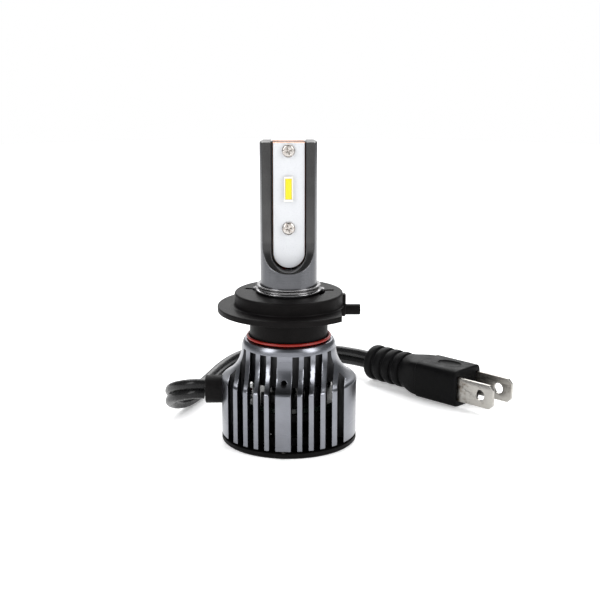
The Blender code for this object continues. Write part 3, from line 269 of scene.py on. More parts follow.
def sector(inner, outer, start, end, steps):
    """Outline of part of a ring."""
    return arc(outer, start, end, steps) + arc(inner, end, start, steps)


def rectangle(x_low, x_high, y_low, y_high):
    """Four corners."""
    return [(x_low, y_low), (x_high, y_low), (x_high, y_high), (x_low, y_high)]


print("outline helpers ready")

# %% Turned and pushed solids
def bridge(shape, low, high):
    """Closed solid between two rings of points."""
    foot = [shape.verts.new(point) for point in low]
    head = [shape.verts.new(point) for point in high]
    shape.faces.new(foot)
    shape.faces.new(head[::-1])
    for a in range(len(foot)):
        b = (a + 1) % len(foot)
        shape.faces.new((foot[a], head[a], head[b], foot[b]))


def skin(shape, sections):
    """Closed solid through many rings of points."""
    rings = [[shape.verts.new(point) for point in section] for section in sections]
    for ring, following in zip(rings, rings[1:]):
        for a in range(len(ring)):
            b = (a + 1) % len(ring)
            shape.faces.new((ring[a], ring[b], following[b], following[a]))
    shape.faces.new(rings[0])
    shape.faces.new(rings[-1][::-1])


def push_outline(shape, outline, low, high, along="Z"):
    """Push an outline along an axis from low to high."""
    def place(point, depth):
        first, second = point
        sideways = {"X": (depth, first, second), "Y": (first, depth, second)}
        return sideways.get(along, (first, second, depth))

    foot = [place(point, low) for point in outline]
    bridge(shape, foot, [place(point, high) for point in outline])


def soften(thing, degrees=30.0):
    """Shade smooth, but keep edges that turn by more than the angle."""
    thing.data.shade_smooth()
    thing.data.set_sharp_from_angle(angle=math.radians(degrees))


def make(name, shape, finish=None, degrees=30.0):
    """Object from a bmesh, with its faces outwards."""
    bmesh.ops.remove_doubles(shape, verts=shape.verts, dist=1e-7)
    bmesh.ops.recalc_face_normals(shape, faces=shape.faces)
    mesh = bpy.data.meshes.new(name)
    shape.to_mesh(mesh)
    shape.free()
    if finish:
        mesh.materials.append(finish)
    thing = place_object(name, mesh)
    soften(thing, degrees)
    return thing


def turned(name, outline, finish=None, sides=96):
    """Turn (radius, height) points about Z; an outline that starts off the axis is closed."""
    shape = bmesh.new()
    rings = []
    for radius, height in outline:
        if radius < 1e-9:
            rings.append([shape.verts.new((0.0, 0.0, height))])
            continue
        places = [polar(radius, 360.0 * side / sides) for side in range(sides)]
        rings.append([shape.verts.new((x, y, height)) for x, y in places])
    following = rings[1:] + rings[:1] if outline[0][0] > 1e-9 else rings[1:]
    for low, high in zip(rings, following):
        for a in range(sides):
            b = (a + 1) % sides
            corners = (low[a % len(low)], low[b % len(low)], high[b % len(high)], high[a % len(high)])
            shape.faces.new(list(dict.fromkeys(corners)))
    return make(name, shape, finish)


def pushed(name, outline, low, high, finish=None, along="Z"):
    """One pushed solid."""
    shape = bmesh.new()
    push_outline(shape, outline, low, high, along)
    return make(name, shape, finish)


print("solid helpers ready")

# %% Moving, cutting and handing over
def moved(thing, place=(0.0, 0.0, 0.0), x=0.0, y=0.0, z=0.0):
    """Turn a mesh by degrees about X, Y and Z in that order, then shift it; the object stays."""
    turn = Matrix.Rotation(math.radians(z), 4, "Z") @ Matrix.Rotation(math.radians(y), 4, "Y")
    turn = turn @ Matrix.Rotation(math.radians(x), 4, "X")
    thing.data.transform(Matrix.Translation(place) @ turn)
    return thing


def settle(thing, degrees=30.0):
    """Give an object the mesh that its modifiers make, and take the modifiers off."""
    bpy.context.view_layer.update()
    seen = thing.evaluated_get(bpy.context.evaluated_depsgraph_get())
    mesh = bpy.data.meshes.new_from_object(seen)
    thing.modifiers.clear()
    thing.data = mesh
    mesh.name = thing.name
    soften(thing, degrees)
    return thing


def carve(thing, *tools, operation="DIFFERENCE"):
    """Cut tools out of a solid, or join them to it, and throw the tools away."""
    for tool in tools:
        step = thing.modifiers.new(tool.name, "BOOLEAN")
        step.operation = operation
        step.solver = "EXACT"
        step.object = tool
    settle(thing)
    for tool in tools:
        bpy.data.objects.remove(tool)
    return thing


def break_edges(thing, width, steps=2, degrees=35.0):
    """Round off sharp edges a little, as deburring does."""
    step = thing.modifiers.new("deburr", "BEVEL")
    step.width = width
    step.segments = steps
    step.limit_method = "ANGLE"
    step.angle_limit = math.radians(degrees)
    step.use_clamp_overlap = False
    return settle(thing)


def hand_over(thing, body, slot, *nodes):
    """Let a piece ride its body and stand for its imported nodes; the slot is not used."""
    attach(thing, body)
    if nodes:
        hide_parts(*nodes)
    size = [round(side / MM, 2) for side in thing.dimensions]
    print(f"{thing.name}: {len(thing.data.polygons)} faces, {size} mm, rides {body}")
    return thing


print("cutting helpers ready")

# %% [markdown]
# ## Geometry Nodes recipes
# Screws, grille openings, fan blades and ribs repeat, so one of each is modelled and a small
# node tree repeats it. A recipe has named inputs for its numbers, realises its instances and
# sets the finish at the end, because a plain mesh is what we keep.

# %% A ring and a row of copies
def new_recipe(name, numbers):
    """Empty node tree with a geometry, its named numbers and a finish as inputs."""
    tree = bpy.data.node_groups.new(name, "GeometryNodeTree")
    tree.interface.new_socket("Pattern", in_out="INPUT", socket_type="NodeSocketGeometry")
    for label, kind in numbers.items():
        tree.interface.new_socket(label, in_out="INPUT", socket_type=f"NodeSocket{kind}")
    tree.interface.new_socket("Finish", in_out="INPUT", socket_type="NodeSocketMaterial")
    tree.interface.new_socket("Result", in_out="OUTPUT", socket_type="NodeSocketGeometry")
    return tree, tree.nodes.new("NodeGroupInput").outputs


def end_recipe(tree, given, geometry):
    """Realise the instances, set the finish and send the result out."""
    plain = node(tree, "GeometryNodeRealizeInstances", Geometry=geometry)
    painted = node(tree, "GeometryNodeSetMaterial", Geometry=plain, Material=given["Finish"])
    node(tree, "NodeGroupOutput", _0=painted)
    return tree


def follow(thing, tree, **values):
    """Run a recipe on an object and keep its mesh; values name the inputs with _ for a space."""
    step = thing.modifiers.new(tree.name, "NODES")
    step.node_group = tree
    for item in tree.interface.items_tree:
        label = item.name.replace(" ", "_")
        if item.in_out == "INPUT" and label in values:
            step[item.identifier] = values[label]
    return settle(thing)


def ring_recipe():
    """Copies turned about Z at even steps."""
    tree, given = new_recipe("ring of copies", {"Count": "Int", "First angle": "Float"})
    points = node(tree, "GeometryNodePoints", Count=given["Count"])
    share = maths(tree, "DIVIDE", math.tau, given["Count"])
    index = node(tree, "GeometryNodeInputIndex")
    angle = maths(tree, "MULTIPLY_ADD", index, share, given["First angle"])
    spin = node(tree, "ShaderNodeCombineXYZ", Z=angle)
    copies = node(
        tree, "GeometryNodeInstanceOnPoints", Points=points, Instance=given["Pattern"], Rotation=spin)
    return end_recipe(tree, given, copies)


def row_recipe():
    """Copies shifted along a line at even steps."""
    tree, given = new_recipe("row of copies", {"Count": "Int", "Step": "Vector"})
    line = node(tree, "GeometryNodeMeshLine", Count=given["Count"], Offset=given["Step"])
    copies = node(tree, "GeometryNodeInstanceOnPoints", Points=line, Instance=given["Pattern"])
    return end_recipe(tree, given, copies)


RING = ring_recipe()
ROW = row_recipe()
print("recipes:", RING.name, "and", ROW.name)

# %% [markdown]
# ## The twin lead
# The lead is two stranded wires moulded side by side in black vinyl. Such a lead bends easily
# one way only, so it stands on edge as it goes round a curve on a table. It comes straight out
# of the gland, drops to the floor, swings round behind the bulb and rises into the plug.
# A figure-of-eight outline is swept along a smooth line through the route's points. The route is
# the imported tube's own, and the lead's length is what the line measures.

# %% Finish: glossy black vinyl
# Long soft waves come from the extruder, and the finest specks are bloom.
BLACK_VINYL = clouded(
    "black_vinyl", (0.004, 0.004, 0.0045), (0.010, 0.010, 0.010), (0.20, 0.38), (0.9, 4.0),
    glint=(2.5, 3.0), reliefs=((0.12, 0.35, 1.0), (0.004, 9.0, 2.0)), Specular_IOR_Level=0.2,
)

# %% The lead's route
LEAD_ROUTE = [Vector(place) * MM for place in (
    (-20.6, 0.0, 12.2),
    (-23.4, 0.0, 12.2),
    (-26.8, 2.3, 11.0),
    (-29.2, 6.4, 9.0),
    (-29.9, 11.5, 6.4),
    (-28.8, 16.8, 4.1),
    (-26.7, 22.0, 2.8),
    (-24.4, 27.8, 2.55),
    (-22.5, 34.0, 2.55),
    (-20.8, 40.6, 2.55),
    (-18.9, 47.4, 2.55),
    (-16.4, 54.0, 2.55),
    (-12.8, 60.0, 2.55),
    (-7.7, 64.7, 2.55),
    (-1.2, 66.8, 2.55),
    (5.3, 65.4, 2.8),
    (10.9, 60.9, 3.6),
    (15.6, 55.7, 4.5),
    (20.1, 51.0, 5.0),
    (23.7, 47.5, 5.0),
)]
LEAD_STEP = 0.9 * MM


def smooth_line(route, step):
    """Points about a step apart on a smooth curve through the route's points."""
    knots = [2 * route[0] - route[1], *route, 2 * route[-1] - route[-2]]
    line = []
    for a, b, c, d in zip(knots, knots[1:], knots[2:], knots[3:]):
        count = max(1, round((c - b).length / step))
        for index in range(count):
            t = index / count
            line.append(
                0.5 * (2 * b + (c - a) * t + (2 * a - 5 * b + 4 * c - d) * t ** 2
                       + (3 * b - a - 3 * c + d) * t ** 3)
            )
    return line + [route[-1]]


lead_line = smooth_line(LEAD_ROUTE, LEAD_STEP)

# %% Sweep the lead
WIRE_RADIUS = 1.3 * MM
LEAD_HEIGHT = 5.0 * MM
WIRE_ARC = 14               # steps round each wire


def twin_outline():
    """Two touching circles, one above the other, as (sideways, up)."""
    rise = LEAD_HEIGHT / 2 - WIRE_RADIUS
    dip = math.degrees(math.asin(rise / WIRE_RADIUS))
    upper = arc(WIRE_RADIUS, -dip, 180.0 + dip, WIRE_ARC, (0.0, rise))
    lower = arc(WIRE_RADIUS, 180.0 - dip, 360.0 + dip, WIRE_ARC, (0.0, -rise))
    return upper[:-1] + lower[:-1]


def sweep(name, line, outline, finish):
    """Sweep an outline along a line, keeping its up side up, and close both ends."""
    sections = []
    for index, place in enumerate(line):
        ahead = line[min(index + 1, len(line) - 1)] - line[max(index - 1, 0)]
        aside = ahead.cross(Vector((0.0, 0.0, 1.0))).normalized()
        up = aside.cross(ahead).normalized()
        sections.append([place + aside * u + up * v for u, v in outline])
    shape = bmesh.new()
    skin(shape, sections)
    return make(name, shape, finish, 50.0)


lead = sweep("twin_lead", lead_line, twin_outline(), BLACK_VINYL)
print("lead:", len(lead.data.polygons), "faces")

# %% [markdown]
# ## The plug
# The plug is one moulding of hard black vinyl: a squared block that the fingers hold, a taper,
# and a strain relief of four round ribs that lets the lead bend gently. Its outline changes from
# a rounded square to a circle, so it is lofted through cross-sections whose squareness is a
# number. The ribs repeat and are made by the row recipe, and the finger dimple is cut last.

# %% Finish: moulded plug vinyl
# The mould was spark-eroded, which leaves fine pits, and handling polishes them a little.
MOULDED_BLACK = clouded(
    "moulded_black", (0.003, 0.003, 0.0035), (0.008, 0.008, 0.008), (0.34, 0.50), (0.45, 3.0),
    reliefs=((0.018, 7.0, 3.0, 0.6), (0.04, 0.8, 2.0)), Specular_IOR_Level=0.045,
)

# %% The plug's place and sizes
PLUG_FACE = (47.2 * MM, 24.6 * MM, 5.0 * MM)
PLUG_TURN = -44.2           # degrees round from the X axis
PLUG_HALF_WIDTH = 5.6 * MM
PLUG_HALF_HEIGHT = 5.0 * MM
PLUG_BLOCK = 13.6 * MM
PLUG_TAPER = 6.1 * MM
PLUG_NECK = 4.25 * MM
RIB_RADIUS = 4.9 * MM
RIB_COUNT = 4
RIB_PITCH = 3.2 * MM
PLUG_SIDES = 96
BLOCK_SQUARENESS = 7.0
RIB_START = PLUG_BLOCK + PLUG_TAPER
PLUG_LENGTH = RIB_START + RIB_COUNT * RIB_PITCH


def plug_ring(back, half_width, half_height, square):
    """One cross-section of the plug; squareness 2 is round, and more is squarer."""
    ring = []
    for side in range(PLUG_SIDES):
        angle = math.tau * (side + 0.5) / PLUG_SIDES
        c, s = math.cos(angle), math.sin(angle)
        y = half_width * math.copysign(abs(c) ** (2 / square), c)
        z = half_height * math.copysign(abs(s) ** (2 / square), s)
        ring.append((-back, y, z))
    return ring


def loft(name, sections, finish):
    """Skin cross-sections given as (back, half width, half height, squareness)."""
    shape = bmesh.new()
    skin(shape, [plug_ring(*section) for section in sections])
    return make(name, shape, finish, 40.0)


print("plug is", round(PLUG_LENGTH / MM, 1), "mm long without its prongs")

# %% Mould the plug
FACE_ROUNDING = 0.6 * MM
ROUND_STEPS = 5
TAPER_STEPS = 12
NECK_SQUARENESS = 2.2
TAPER_END = 4.7 * MM
BLOCK_STEP = 0.22 * MM
GROOVE_WIDTH = 0.85 * MM
PIECE_OVERLAP = 0.3 * MM


def block_sections():
    """The squared block with a rounded front edge, easing into the round neck."""
    sections = []
    for step in range(ROUND_STEPS + 1):
        turn = math.radians(90.0 * step / ROUND_STEPS)
        back = FACE_ROUNDING * (1 - math.cos(turn))
        inset = FACE_ROUNDING * (1 - math.sin(turn))
        sections.append((back, PLUG_HALF_WIDTH - inset, PLUG_HALF_HEIGHT - inset, BLOCK_SQUARENESS))
    sections.append((PLUG_BLOCK - BLOCK_STEP, PLUG_HALF_WIDTH, PLUG_HALF_HEIGHT, BLOCK_SQUARENESS))
    wide, tall = PLUG_HALF_WIDTH - BLOCK_STEP, PLUG_HALF_HEIGHT - BLOCK_STEP
    for step in range(TAPER_STEPS + 1):
        t = step / TAPER_STEPS
        ease = t * t * (3 - 2 * t)
        sections.append((
            PLUG_BLOCK + PLUG_TAPER * t,
            wide + (TAPER_END - wide) * ease,
            tall + (TAPER_END - tall) * ease,
            BLOCK_SQUARENESS + (NECK_SQUARENESS - BLOCK_SQUARENESS) * ease,
        ))
    end = PLUG_LENGTH - 0.4 * MM
    tip = 0.9 * PLUG_NECK
    for back, radius in ((RIB_START + 0.4 * MM, PLUG_NECK), (end, PLUG_NECK), (PLUG_LENGTH, tip)):
        sections.append((back, radius, radius, 2.0))
    return sections


def rib_outline():
    """One crowned rib as a closed ring: (radius, distance back)."""
    crown = RIB_PITCH - GROOVE_WIDTH
    line = [(PLUG_NECK - PIECE_OVERLAP, 0.0)]
    for step in range(17):
        turn = math.radians(180.0 * step / 16)
        bulge = math.sin(turn) ** 0.5
        line.append((PLUG_NECK + (RIB_RADIUS - PLUG_NECK) * bulge, crown * (1 - math.cos(turn)) / 2))
    return line + [(PLUG_NECK - PIECE_OVERLAP, crown)]


plug_block = loft("plug_moulding", block_sections(), MOULDED_BLACK)
rib = moved(turned("strain_relief", rib_outline(), MOULDED_BLACK, PLUG_SIDES), y=-90.0)
moved(rib, (-RIB_START - GROOVE_WIDTH, 0.0, 0.0))
follow(rib, ROW, Count=RIB_COUNT, Step=(-RIB_PITCH, 0.0, 0.0), Finish=MOULDED_BLACK)
print("ribs:", len(rib.data.polygons), "faces")

# %% Finger dimples and prong slots
DIMPLE_BACK = 6.2 * MM
DIMPLE_LENGTH = 7.0 * MM
DIMPLE_WIDTH = 4.6 * MM
DIMPLE_DEPTH = 0.75 * MM
PRONG_SPACING = 8.2 * MM
PRONG_THICKNESS = 0.8 * MM
PRONG_HALF_HEIGHT = 3.2 * MM
PRONG_DEPTH = 4.0 * MM
SLOT_ROOM = 0.14 * MM


def dimple(side):
    """Cutter for an oval dimple in the top or underside of the block."""
    steps = 12
    curve = [(math.cos(math.radians(90.0 * s / steps)), math.sin(math.radians(90.0 * s / steps)))
             for s in range(steps + 1)]
    outline = [(r, -z) for r, z in reversed(curve)] + [(r, z) for r, z in curve[1:]]
    cutter = turned(f"dimple_{side}", outline, sides=64)
    size = Matrix.Diagonal((DIMPLE_LENGTH / 2, DIMPLE_WIDTH / 2, DIMPLE_DEPTH, 1.0))
    cutter.data.transform(size)
    return moved(cutter, (-DIMPLE_BACK, 0.0, side * PLUG_HALF_HEIGHT))


def prong_slot(side):
    """Cutter for the slot that a prong stands in."""
    middle = side * PRONG_SPACING / 2
    half = PRONG_THICKNESS / 2 + SLOT_ROOM
    tall = PRONG_HALF_HEIGHT + SLOT_ROOM
    outline = rectangle(-PRONG_DEPTH - SLOT_ROOM, MM, -tall, tall)
    return pushed(f"prong_slot_{side}", outline, middle - half, middle + half, along="Y")


carve(plug_block, rib, operation="UNION")
carve(plug_block, dimple(1), dimple(-1), prong_slot(1), prong_slot(-1))
break_edges(plug_block, 0.12 * MM, 2, 50.0)
moved(plug_block, PLUG_FACE, z=PLUG_TURN)
hand_over(plug_block, "root", "black_plug", "plug_body")

# %% [markdown]
# ## The two prongs
# Each prong is punched from brass strip and nickel plated: the punch leaves straight sides,
# clipped corners and an eye. Its faces carry long fine scratches from the rolling mill and from
# being pushed in and out, brown tarnish in clouds, and they turn darker and browner towards the
# moulding.

# %% Finish: scratched nickel plate
PRONG_ROOT = 16.7           # where the prongs leave the moulding, in mm along the plug's axis


def prong_nickel():
    """Nickel plate brushed along the prong, with tarnish in clouds."""
    made = new_finish("prong_nickel", (0.60, 0.575, 0.53), 0.30, metallic=1.0)
    tree = made.node_tree
    turned_back = node(
        tree, "ShaderNodeMapping", Vector=millimetres(made),
        Rotation=(0.0, 0.0, math.radians(-PLUG_TURN)),
    )
    grain = node(tree, "ShaderNodeMapping", Vector=turned_back, Scale=(0.25, 3.0, 9.0))
    scratches = specks(made, grain, 1.3, 4.0, 0.65)
    tarnish = specks(made, turned_back, 0.8, 4.0, 0.6)
    clean = blend_colours(made, scratches, (0.33, 0.318, 0.295), (0.48, 0.464, 0.432))
    along = node(tree, "ShaderNodeSeparateXYZ", Vector=turned_back).outputs["X"]
    # Darker and browner towards where the prong leaves the moulding.
    root = spread(made, along, 0.22, 0.0, PRONG_ROOT, PRONG_ROOT + 5.0)
    browning = maths(tree, "ADD", tarnish, root)
    feed(made, "Base Color", blend_colours(
        made, spread(made, browning, 0.0, 0.85, 0.58, 0.86), clean, (0.12, 0.09, 0.065)))
    feed(made, "Roughness", spread(made, scratches, 0.26, 0.44))
    relief(made, scratches, 0.012 * MM)
    return made


PRONG_NICKEL = prong_nickel()

# %% Punch the prongs
PRONG_REACH = 11.2 * MM
PRONG_CLIP = 1.2 * MM
EYE_RADIUS = 1.4 * MM
EYE_PLACE = 7.1 * MM


def prong(name, side):
    """One prong, from inside the moulding to its clipped tip."""
    middle = side * PRONG_SPACING / 2
    low, high = middle - PRONG_THICKNESS / 2, middle + PRONG_THICKNESS / 2
    tall = PRONG_HALF_HEIGHT
    outline = [
        (-PRONG_DEPTH, -tall), (PRONG_REACH - PRONG_CLIP, -tall), (PRONG_REACH, -tall + PRONG_CLIP),
        (PRONG_REACH, tall - PRONG_CLIP), (PRONG_REACH - PRONG_CLIP, tall), (-PRONG_DEPTH, tall),
    ]
    made = pushed(name, outline, low, high, PRONG_NICKEL, along="Y")
    eye = arc(EYE_RADIUS, 0.0, 360.0, 48, (EYE_PLACE, 0.0))[:-1]
    carve(made, pushed("eye", eye, low - MM, high + MM, PRONG_NICKEL, along="Y"))
    break_edges(made, 0.1 * MM, 3)
    return moved(made, PLUG_FACE, z=PLUG_TURN)


prongs = [
    hand_over(prong(f"prong_{label}", side), "root", "bright_nickel", f"plug_prong_{label}")
    for label, side in (("near", -1), ("far", 1))
]

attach(lead, "root")
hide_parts("supply_cord")

# %% [markdown]
# ## The cable gland
# A soft rubber bush fills the round hole in the heat sink's side and holds the lead there. It is
# turned about its own axis and laid on its side. The moulded slot for the lead is cut a hair
# larger than the lead itself, so a thin dark line shows round it.

# %% Finish: matt rubber
# A dusty bloom and a faint orange-peel skin.
MATT_RUBBER = clouded(
    "matt_rubber", (0.003, 0.003, 0.003), (0.010, 0.009, 0.009), (0.42, 0.6), (1.2, 4.0),
    reliefs=((0.02, 5.0, 2.0),), Specular_IOR_Level=0.05,
)

# %% Turn the gland
SINK_RADIUS = 16.4 * MM
GLAND_HEIGHT = 12.2 * MM
GLAND_HEAD = 3.4 * MM
GLAND_SHANK = 2.7 * MM
GLAND_INNER = 10.7 * MM     # from the bulb's axis
GLAND_SEAT = 15.9 * MM
GLAND_END = 20.3 * MM
LEAD_ROOM = 0.12 * MM

gland_outline = eased([
    (0.0, -GLAND_INNER), (GLAND_SHANK, -GLAND_INNER, 0.2 * MM), (GLAND_SHANK, -GLAND_SEAT),
    (GLAND_HEAD, -GLAND_SEAT, 0.15 * MM), (GLAND_HEAD, -GLAND_END, 0.35 * MM), (0.0, -GLAND_END),
])
gland = moved(turned("gland", gland_outline, MATT_RUBBER), (0.0, 0.0, GLAND_HEIGHT), y=90.0)
swell = 1 + LEAD_ROOM / WIRE_RADIUS
lead_hole = [(u * swell, v * swell + GLAND_HEIGHT) for u, v in twin_outline()]
carve(gland, pushed("lead_hole", lead_hole, -GLAND_END - MM, -GLAND_END + MM, along="X"))
break_edges(gland, 0.08 * MM, 2, 50.0)
hand_over(gland, "root", "black_rubber", "cable_gland")

# %% [markdown]
# ## The heat sink
# The heat sink is the main piece, and its shape follows a rule: a turned aluminium body is
# milled with straight parallel slots from the front and again from the rear, each slot as wide
# as the last and one fin apart, all stopping at the same round core. The outer faces keep a
# bright skin, and the slot walls and inner faces get a near-black finish: painted shade.
# A Geometry Nodes tree fits this well: its inputs are the shop drawing's numbers, and changing
# the slot count or width rebuilds the whole piece.

# %% Finish: skimmed aluminium
def skimmed_aluminium(name, dark, light, low, high):
    """Aluminium off the lathe: fine rings round the axis, a soft cloud in its gloss."""
    made = new_finish(name, light, low, metallic=1.0)
    rings = specks(made, round_the_axis(made), 6.0, 5.0, 0.7)
    cloud = specks(made, millimetres(made), 0.25, 3.0)
    toned = blend_colours(made, rings, dark, light)
    feed(made, "Base Color", blend_colours(
        made, spread(made, cloud, 0.0, 0.4), toned, tuple(0.8 * part for part in dark)))
    feed(made, "Roughness", spread(made, rings, low, high, 0.3, 0.7))
    cut = relief(made, rings, 0.0003 * MM)
    relief(made, specks(made, millimetres(made), 11.0, 2.0), 0.0006 * MM, cut)
    return made


SINK_SKIN = skimmed_aluminium("skimmed_sink", (0.192, 0.198, 0.220), (0.216, 0.222, 0.245), 0.26, 0.32)

# %% Finish: painted slot shade
# A near-black finish that paints the shade in the slots, with milling marks that run up the slot.
SLOT_SHADE = clouded(
    "slot_black", (0.006, 0.006, 0.007), (0.022, 0.022, 0.025), (0.45, 0.68), (1.0, 4.0, 0.6),
    reliefs=((0.01,),), metallic=0.3, stretch=(4.0, 4.0, 0.35),
)

# %% The heat sink's numbers
SHOULDER_HEIGHT = 15.6 * MM
RIM_HEIGHT = 25.3 * MM
SLOT_TOP = 23.4 * MM
RIM_RADIUS = 10.7 * MM
RING_RADIUS = 11.4 * MM
RECESS_RADIUS = 9.7 * MM
RECESS_FLOOR = 22.4 * MM
CORE_RADIUS = 10.4 * MM
SINK_BOTTOM = 1.6 * MM
FAN_SPACE = 12.8 * MM
DRIVER_SPACE = 11.6 * MM
DRIVER_LEDGE = 11.3 * MM
POST_SOCKET = 7.07 * MM
WEB_HALF_WIDTH = 4.5 * MM
WIDE_RIB = 3.66 * MM
SLOT_WIDTH = 1.5 * MM
FIN_WIDTH = 1.13 * MM
SLOTS_EACH_SIDE = 5
SINK_TURN = -5.0            # degrees that the slots stand round from the front
SINK_CHAMFER = 0.3 * MM
SINK_SIDES = 192
low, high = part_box("heat_sink")
print("packed heat sink:", [round(side / MM, 2) for side in high - low], "mm")

# %% Turn the body
def flare(radius_low, height_low, radius_high, height_high, steps=24):
    """Hollow curve that leaves the plain ring upright and meets the shoulder on a slant."""
    across = radius_low - radius_high
    rise = height_high - height_low
    radius = (across ** 2 + rise ** 2) / (2 * across)
    sweep = math.degrees(math.asin(rise / radius))
    return arc(radius, 180.0 + sweep, 180.0, steps, (radius_high + radius, height_high))


def shoulder():
    """The fin's outside from its foot to the flare, with a rounded shoulder."""
    curve = flare(SINK_RADIUS, SHOULDER_HEIGHT, RING_RADIUS, SLOT_TOP)
    round_over = 0.45 * MM
    start = Vector((SINK_RADIUS, SHOULDER_HEIGHT - round_over))
    corner = Vector((SINK_RADIUS, SHOULDER_HEIGHT))
    end = Vector(curve[2])
    line = []
    for step in range(7):
        t = step / 6
        line.append(tuple(start * (1 - t) ** 2 + corner * 2 * t * (1 - t) + end * t ** 2))
    return line + curve[3:]


sink_outline = [
    (FAN_SPACE, SINK_BOTTOM), (SINK_RADIUS - SINK_CHAMFER, SINK_BOTTOM),
    (SINK_RADIUS, SINK_BOTTOM + SINK_CHAMFER),
    *shoulder(),
    *eased([
        (RING_RADIUS, SLOT_TOP + 0.1 * MM), (11.15 * MM, 24.5 * MM, 0.25 * MM),
        (RIM_RADIUS, RIM_HEIGHT, 0.25 * MM), (RECESS_RADIUS, RIM_HEIGHT, 0.3 * MM),
        (RECESS_RADIUS, RECESS_FLOOR),
    ]),
    (POST_SOCKET, RECESS_FLOOR), (POST_SOCKET, SHOULDER_HEIGHT), (DRIVER_SPACE, SHOULDER_HEIGHT),
    (DRIVER_SPACE, DRIVER_LEDGE), (FAN_SPACE, DRIVER_LEDGE),
]
sink = turned("heat_sink_body", sink_outline, SINK_SKIN, SINK_SIDES)
print("turned body:", len(sink.data.polygons), "faces")

# %% The slotting recipe
def slotting_recipe():
    """Mill rows of slots into a turned body, front and rear, down to a round core."""
    lengths = ("Slot width", "Fin width", "Wide rib", "Web half width", "Outside", "Slot top",
               "Core radius", "Turn")
    tree, given = new_recipe(
        "slotted heat sink", {"Slots each side": "Int", **dict.fromkeys(lengths, "Float")})

    def plus(first, second):
        return maths(tree, "ADD", first, second)

    def times(first, second):
        return maths(tree, "MULTIPLY", first, second)

    def vector(x=0.0, y=0.0, z=0.0):
        return node(tree, "ShaderNodeCombineXYZ", X=x, Y=y, Z=z)

    def both(first, second):
        pair = node(tree, "GeometryNodeJoinGeometry", _0=first)
        tree.links.new(second.outputs[0], pair.inputs[0])
        return pair

    def placed(thing, **change):
        return node(tree, "GeometryNodeTransform", Geometry=thing, **change)

    def line(first, pitch):
        start, step = vector(first), vector(pitch)
        count = given["Slots each side"]
        return node(tree, "GeometryNodeMeshLine", Count=count, Start_Location=start, Offset=step)

    def cut(solid, tool):
        exact = {"operation": "DIFFERENCE", "solver": "EXACT"}
        return node(tree, "GeometryNodeMeshBoolean", exact, Mesh_1=solid, Mesh_2=tool)

    depth = plus(given["Outside"], times(given["Web half width"], -1.0))
    tall = plus(given["Slot top"], 2 * MM)
    box = node(tree, "GeometryNodeMeshCube", Size=vector(given["Slot width"], depth, tall))
    reach = times(plus(given["Outside"], given["Web half width"]), 0.5)
    lift = times(plus(given["Slot top"], -2 * MM), 0.5)
    front = placed(box, Translation=vector(0.0, times(reach, -1.0), lift))
    rear = placed(box, Translation=vector(0.0, reach, lift))
    first = plus(times(given["Wide rib"], 0.5), times(given["Slot width"], 0.5))
    pitch = plus(given["Slot width"], given["Fin width"])
    places = both(line(first, pitch), line(times(first, -1.0), times(pitch, -1.0)))
    slots = node(tree, "GeometryNodeInstanceOnPoints", Points=places, Instance=both(front, rear))
    solid = node(tree, "GeometryNodeRealizeInstances", Geometry=slots)
    core = node(
        tree, "GeometryNodeMeshCylinder", {"fill_type": "NGON"}, Vertices=SINK_SIDES,
        Radius=given["Core radius"], Depth=100 * MM,
    )
    trimmed = cut(placed(solid, Rotation=vector(z=given["Turn"])), core)
    return end_recipe(tree, given, cut(given["Pattern"], trimmed))


follow(
    sink, slotting_recipe(), Slots_each_side=SLOTS_EACH_SIDE, Slot_width=SLOT_WIDTH,
    Fin_width=FIN_WIDTH, Wide_rib=WIDE_RIB, Web_half_width=WEB_HALF_WIDTH,
    Outside=SINK_RADIUS + MM, Slot_top=SLOT_TOP, Core_radius=CORE_RADIUS,
    Turn=math.radians(SINK_TURN), Finish=SINK_SKIN,
)
print("slotted body:", len(sink.data.polygons), "faces")

# %% Holes for the gland, the grub screw and the cover screws
GRUB_HEIGHT = 17.6 * MM
GRUB_HOLE = 0.75 * MM
COVER_SCREW_CIRCLE = 14.5 * MM
COVER_SCREW_HOLE = 1.1 * MM
COVER_SCREW_DEPTH = 6.9 * MM


def drill(name, start, *steps, sides=48):
    """Round cutter about Z; each step is a radius and the height where it ends."""
    outline = [(0.0, start)]
    for radius, end in steps:
        outline += [(radius, start), (radius, end)]
        start = end
    return turned(name, outline + [(0.0, start)], sides=sides)


rib_angles = [SINK_TURN + 90.0 * quarter for quarter in range(4)]
gland_room = 0.05 * MM
gland_bore = drill(
    "gland_bore", -SINK_RADIUS - MM, (GLAND_HEAD + gland_room, -GLAND_SEAT),
    (GLAND_SHANK + gland_room, -GLAND_INNER),
)
grub_bore = drill("grub_bore", POST_SOCKET - MM, (GRUB_HOLE, SINK_RADIUS))
cutters = [
    moved(gland_bore, (0.0, 0.0, GLAND_HEIGHT), y=90.0),
    moved(grub_bore, (0.0, 0.0, GRUB_HEIGHT), y=90.0, z=SINK_TURN - 90.0),
]
for angle in rib_angles:
    x, y = polar(COVER_SCREW_CIRCLE, angle)
    cutters.append(moved(drill("pilot", 0.0, (COVER_SCREW_HOLE, COVER_SCREW_DEPTH)), (x, y, 0.0)))
carve(sink, *cutters)
print("drilled body:", len(sink.data.polygons), "faces")

# %% Painted shade in the slots, bright skin outside
WALL_SLANT = 0.12           # most that a skimmed face leans sideways
INWARD = 0.2                # least that it looks away from the axis


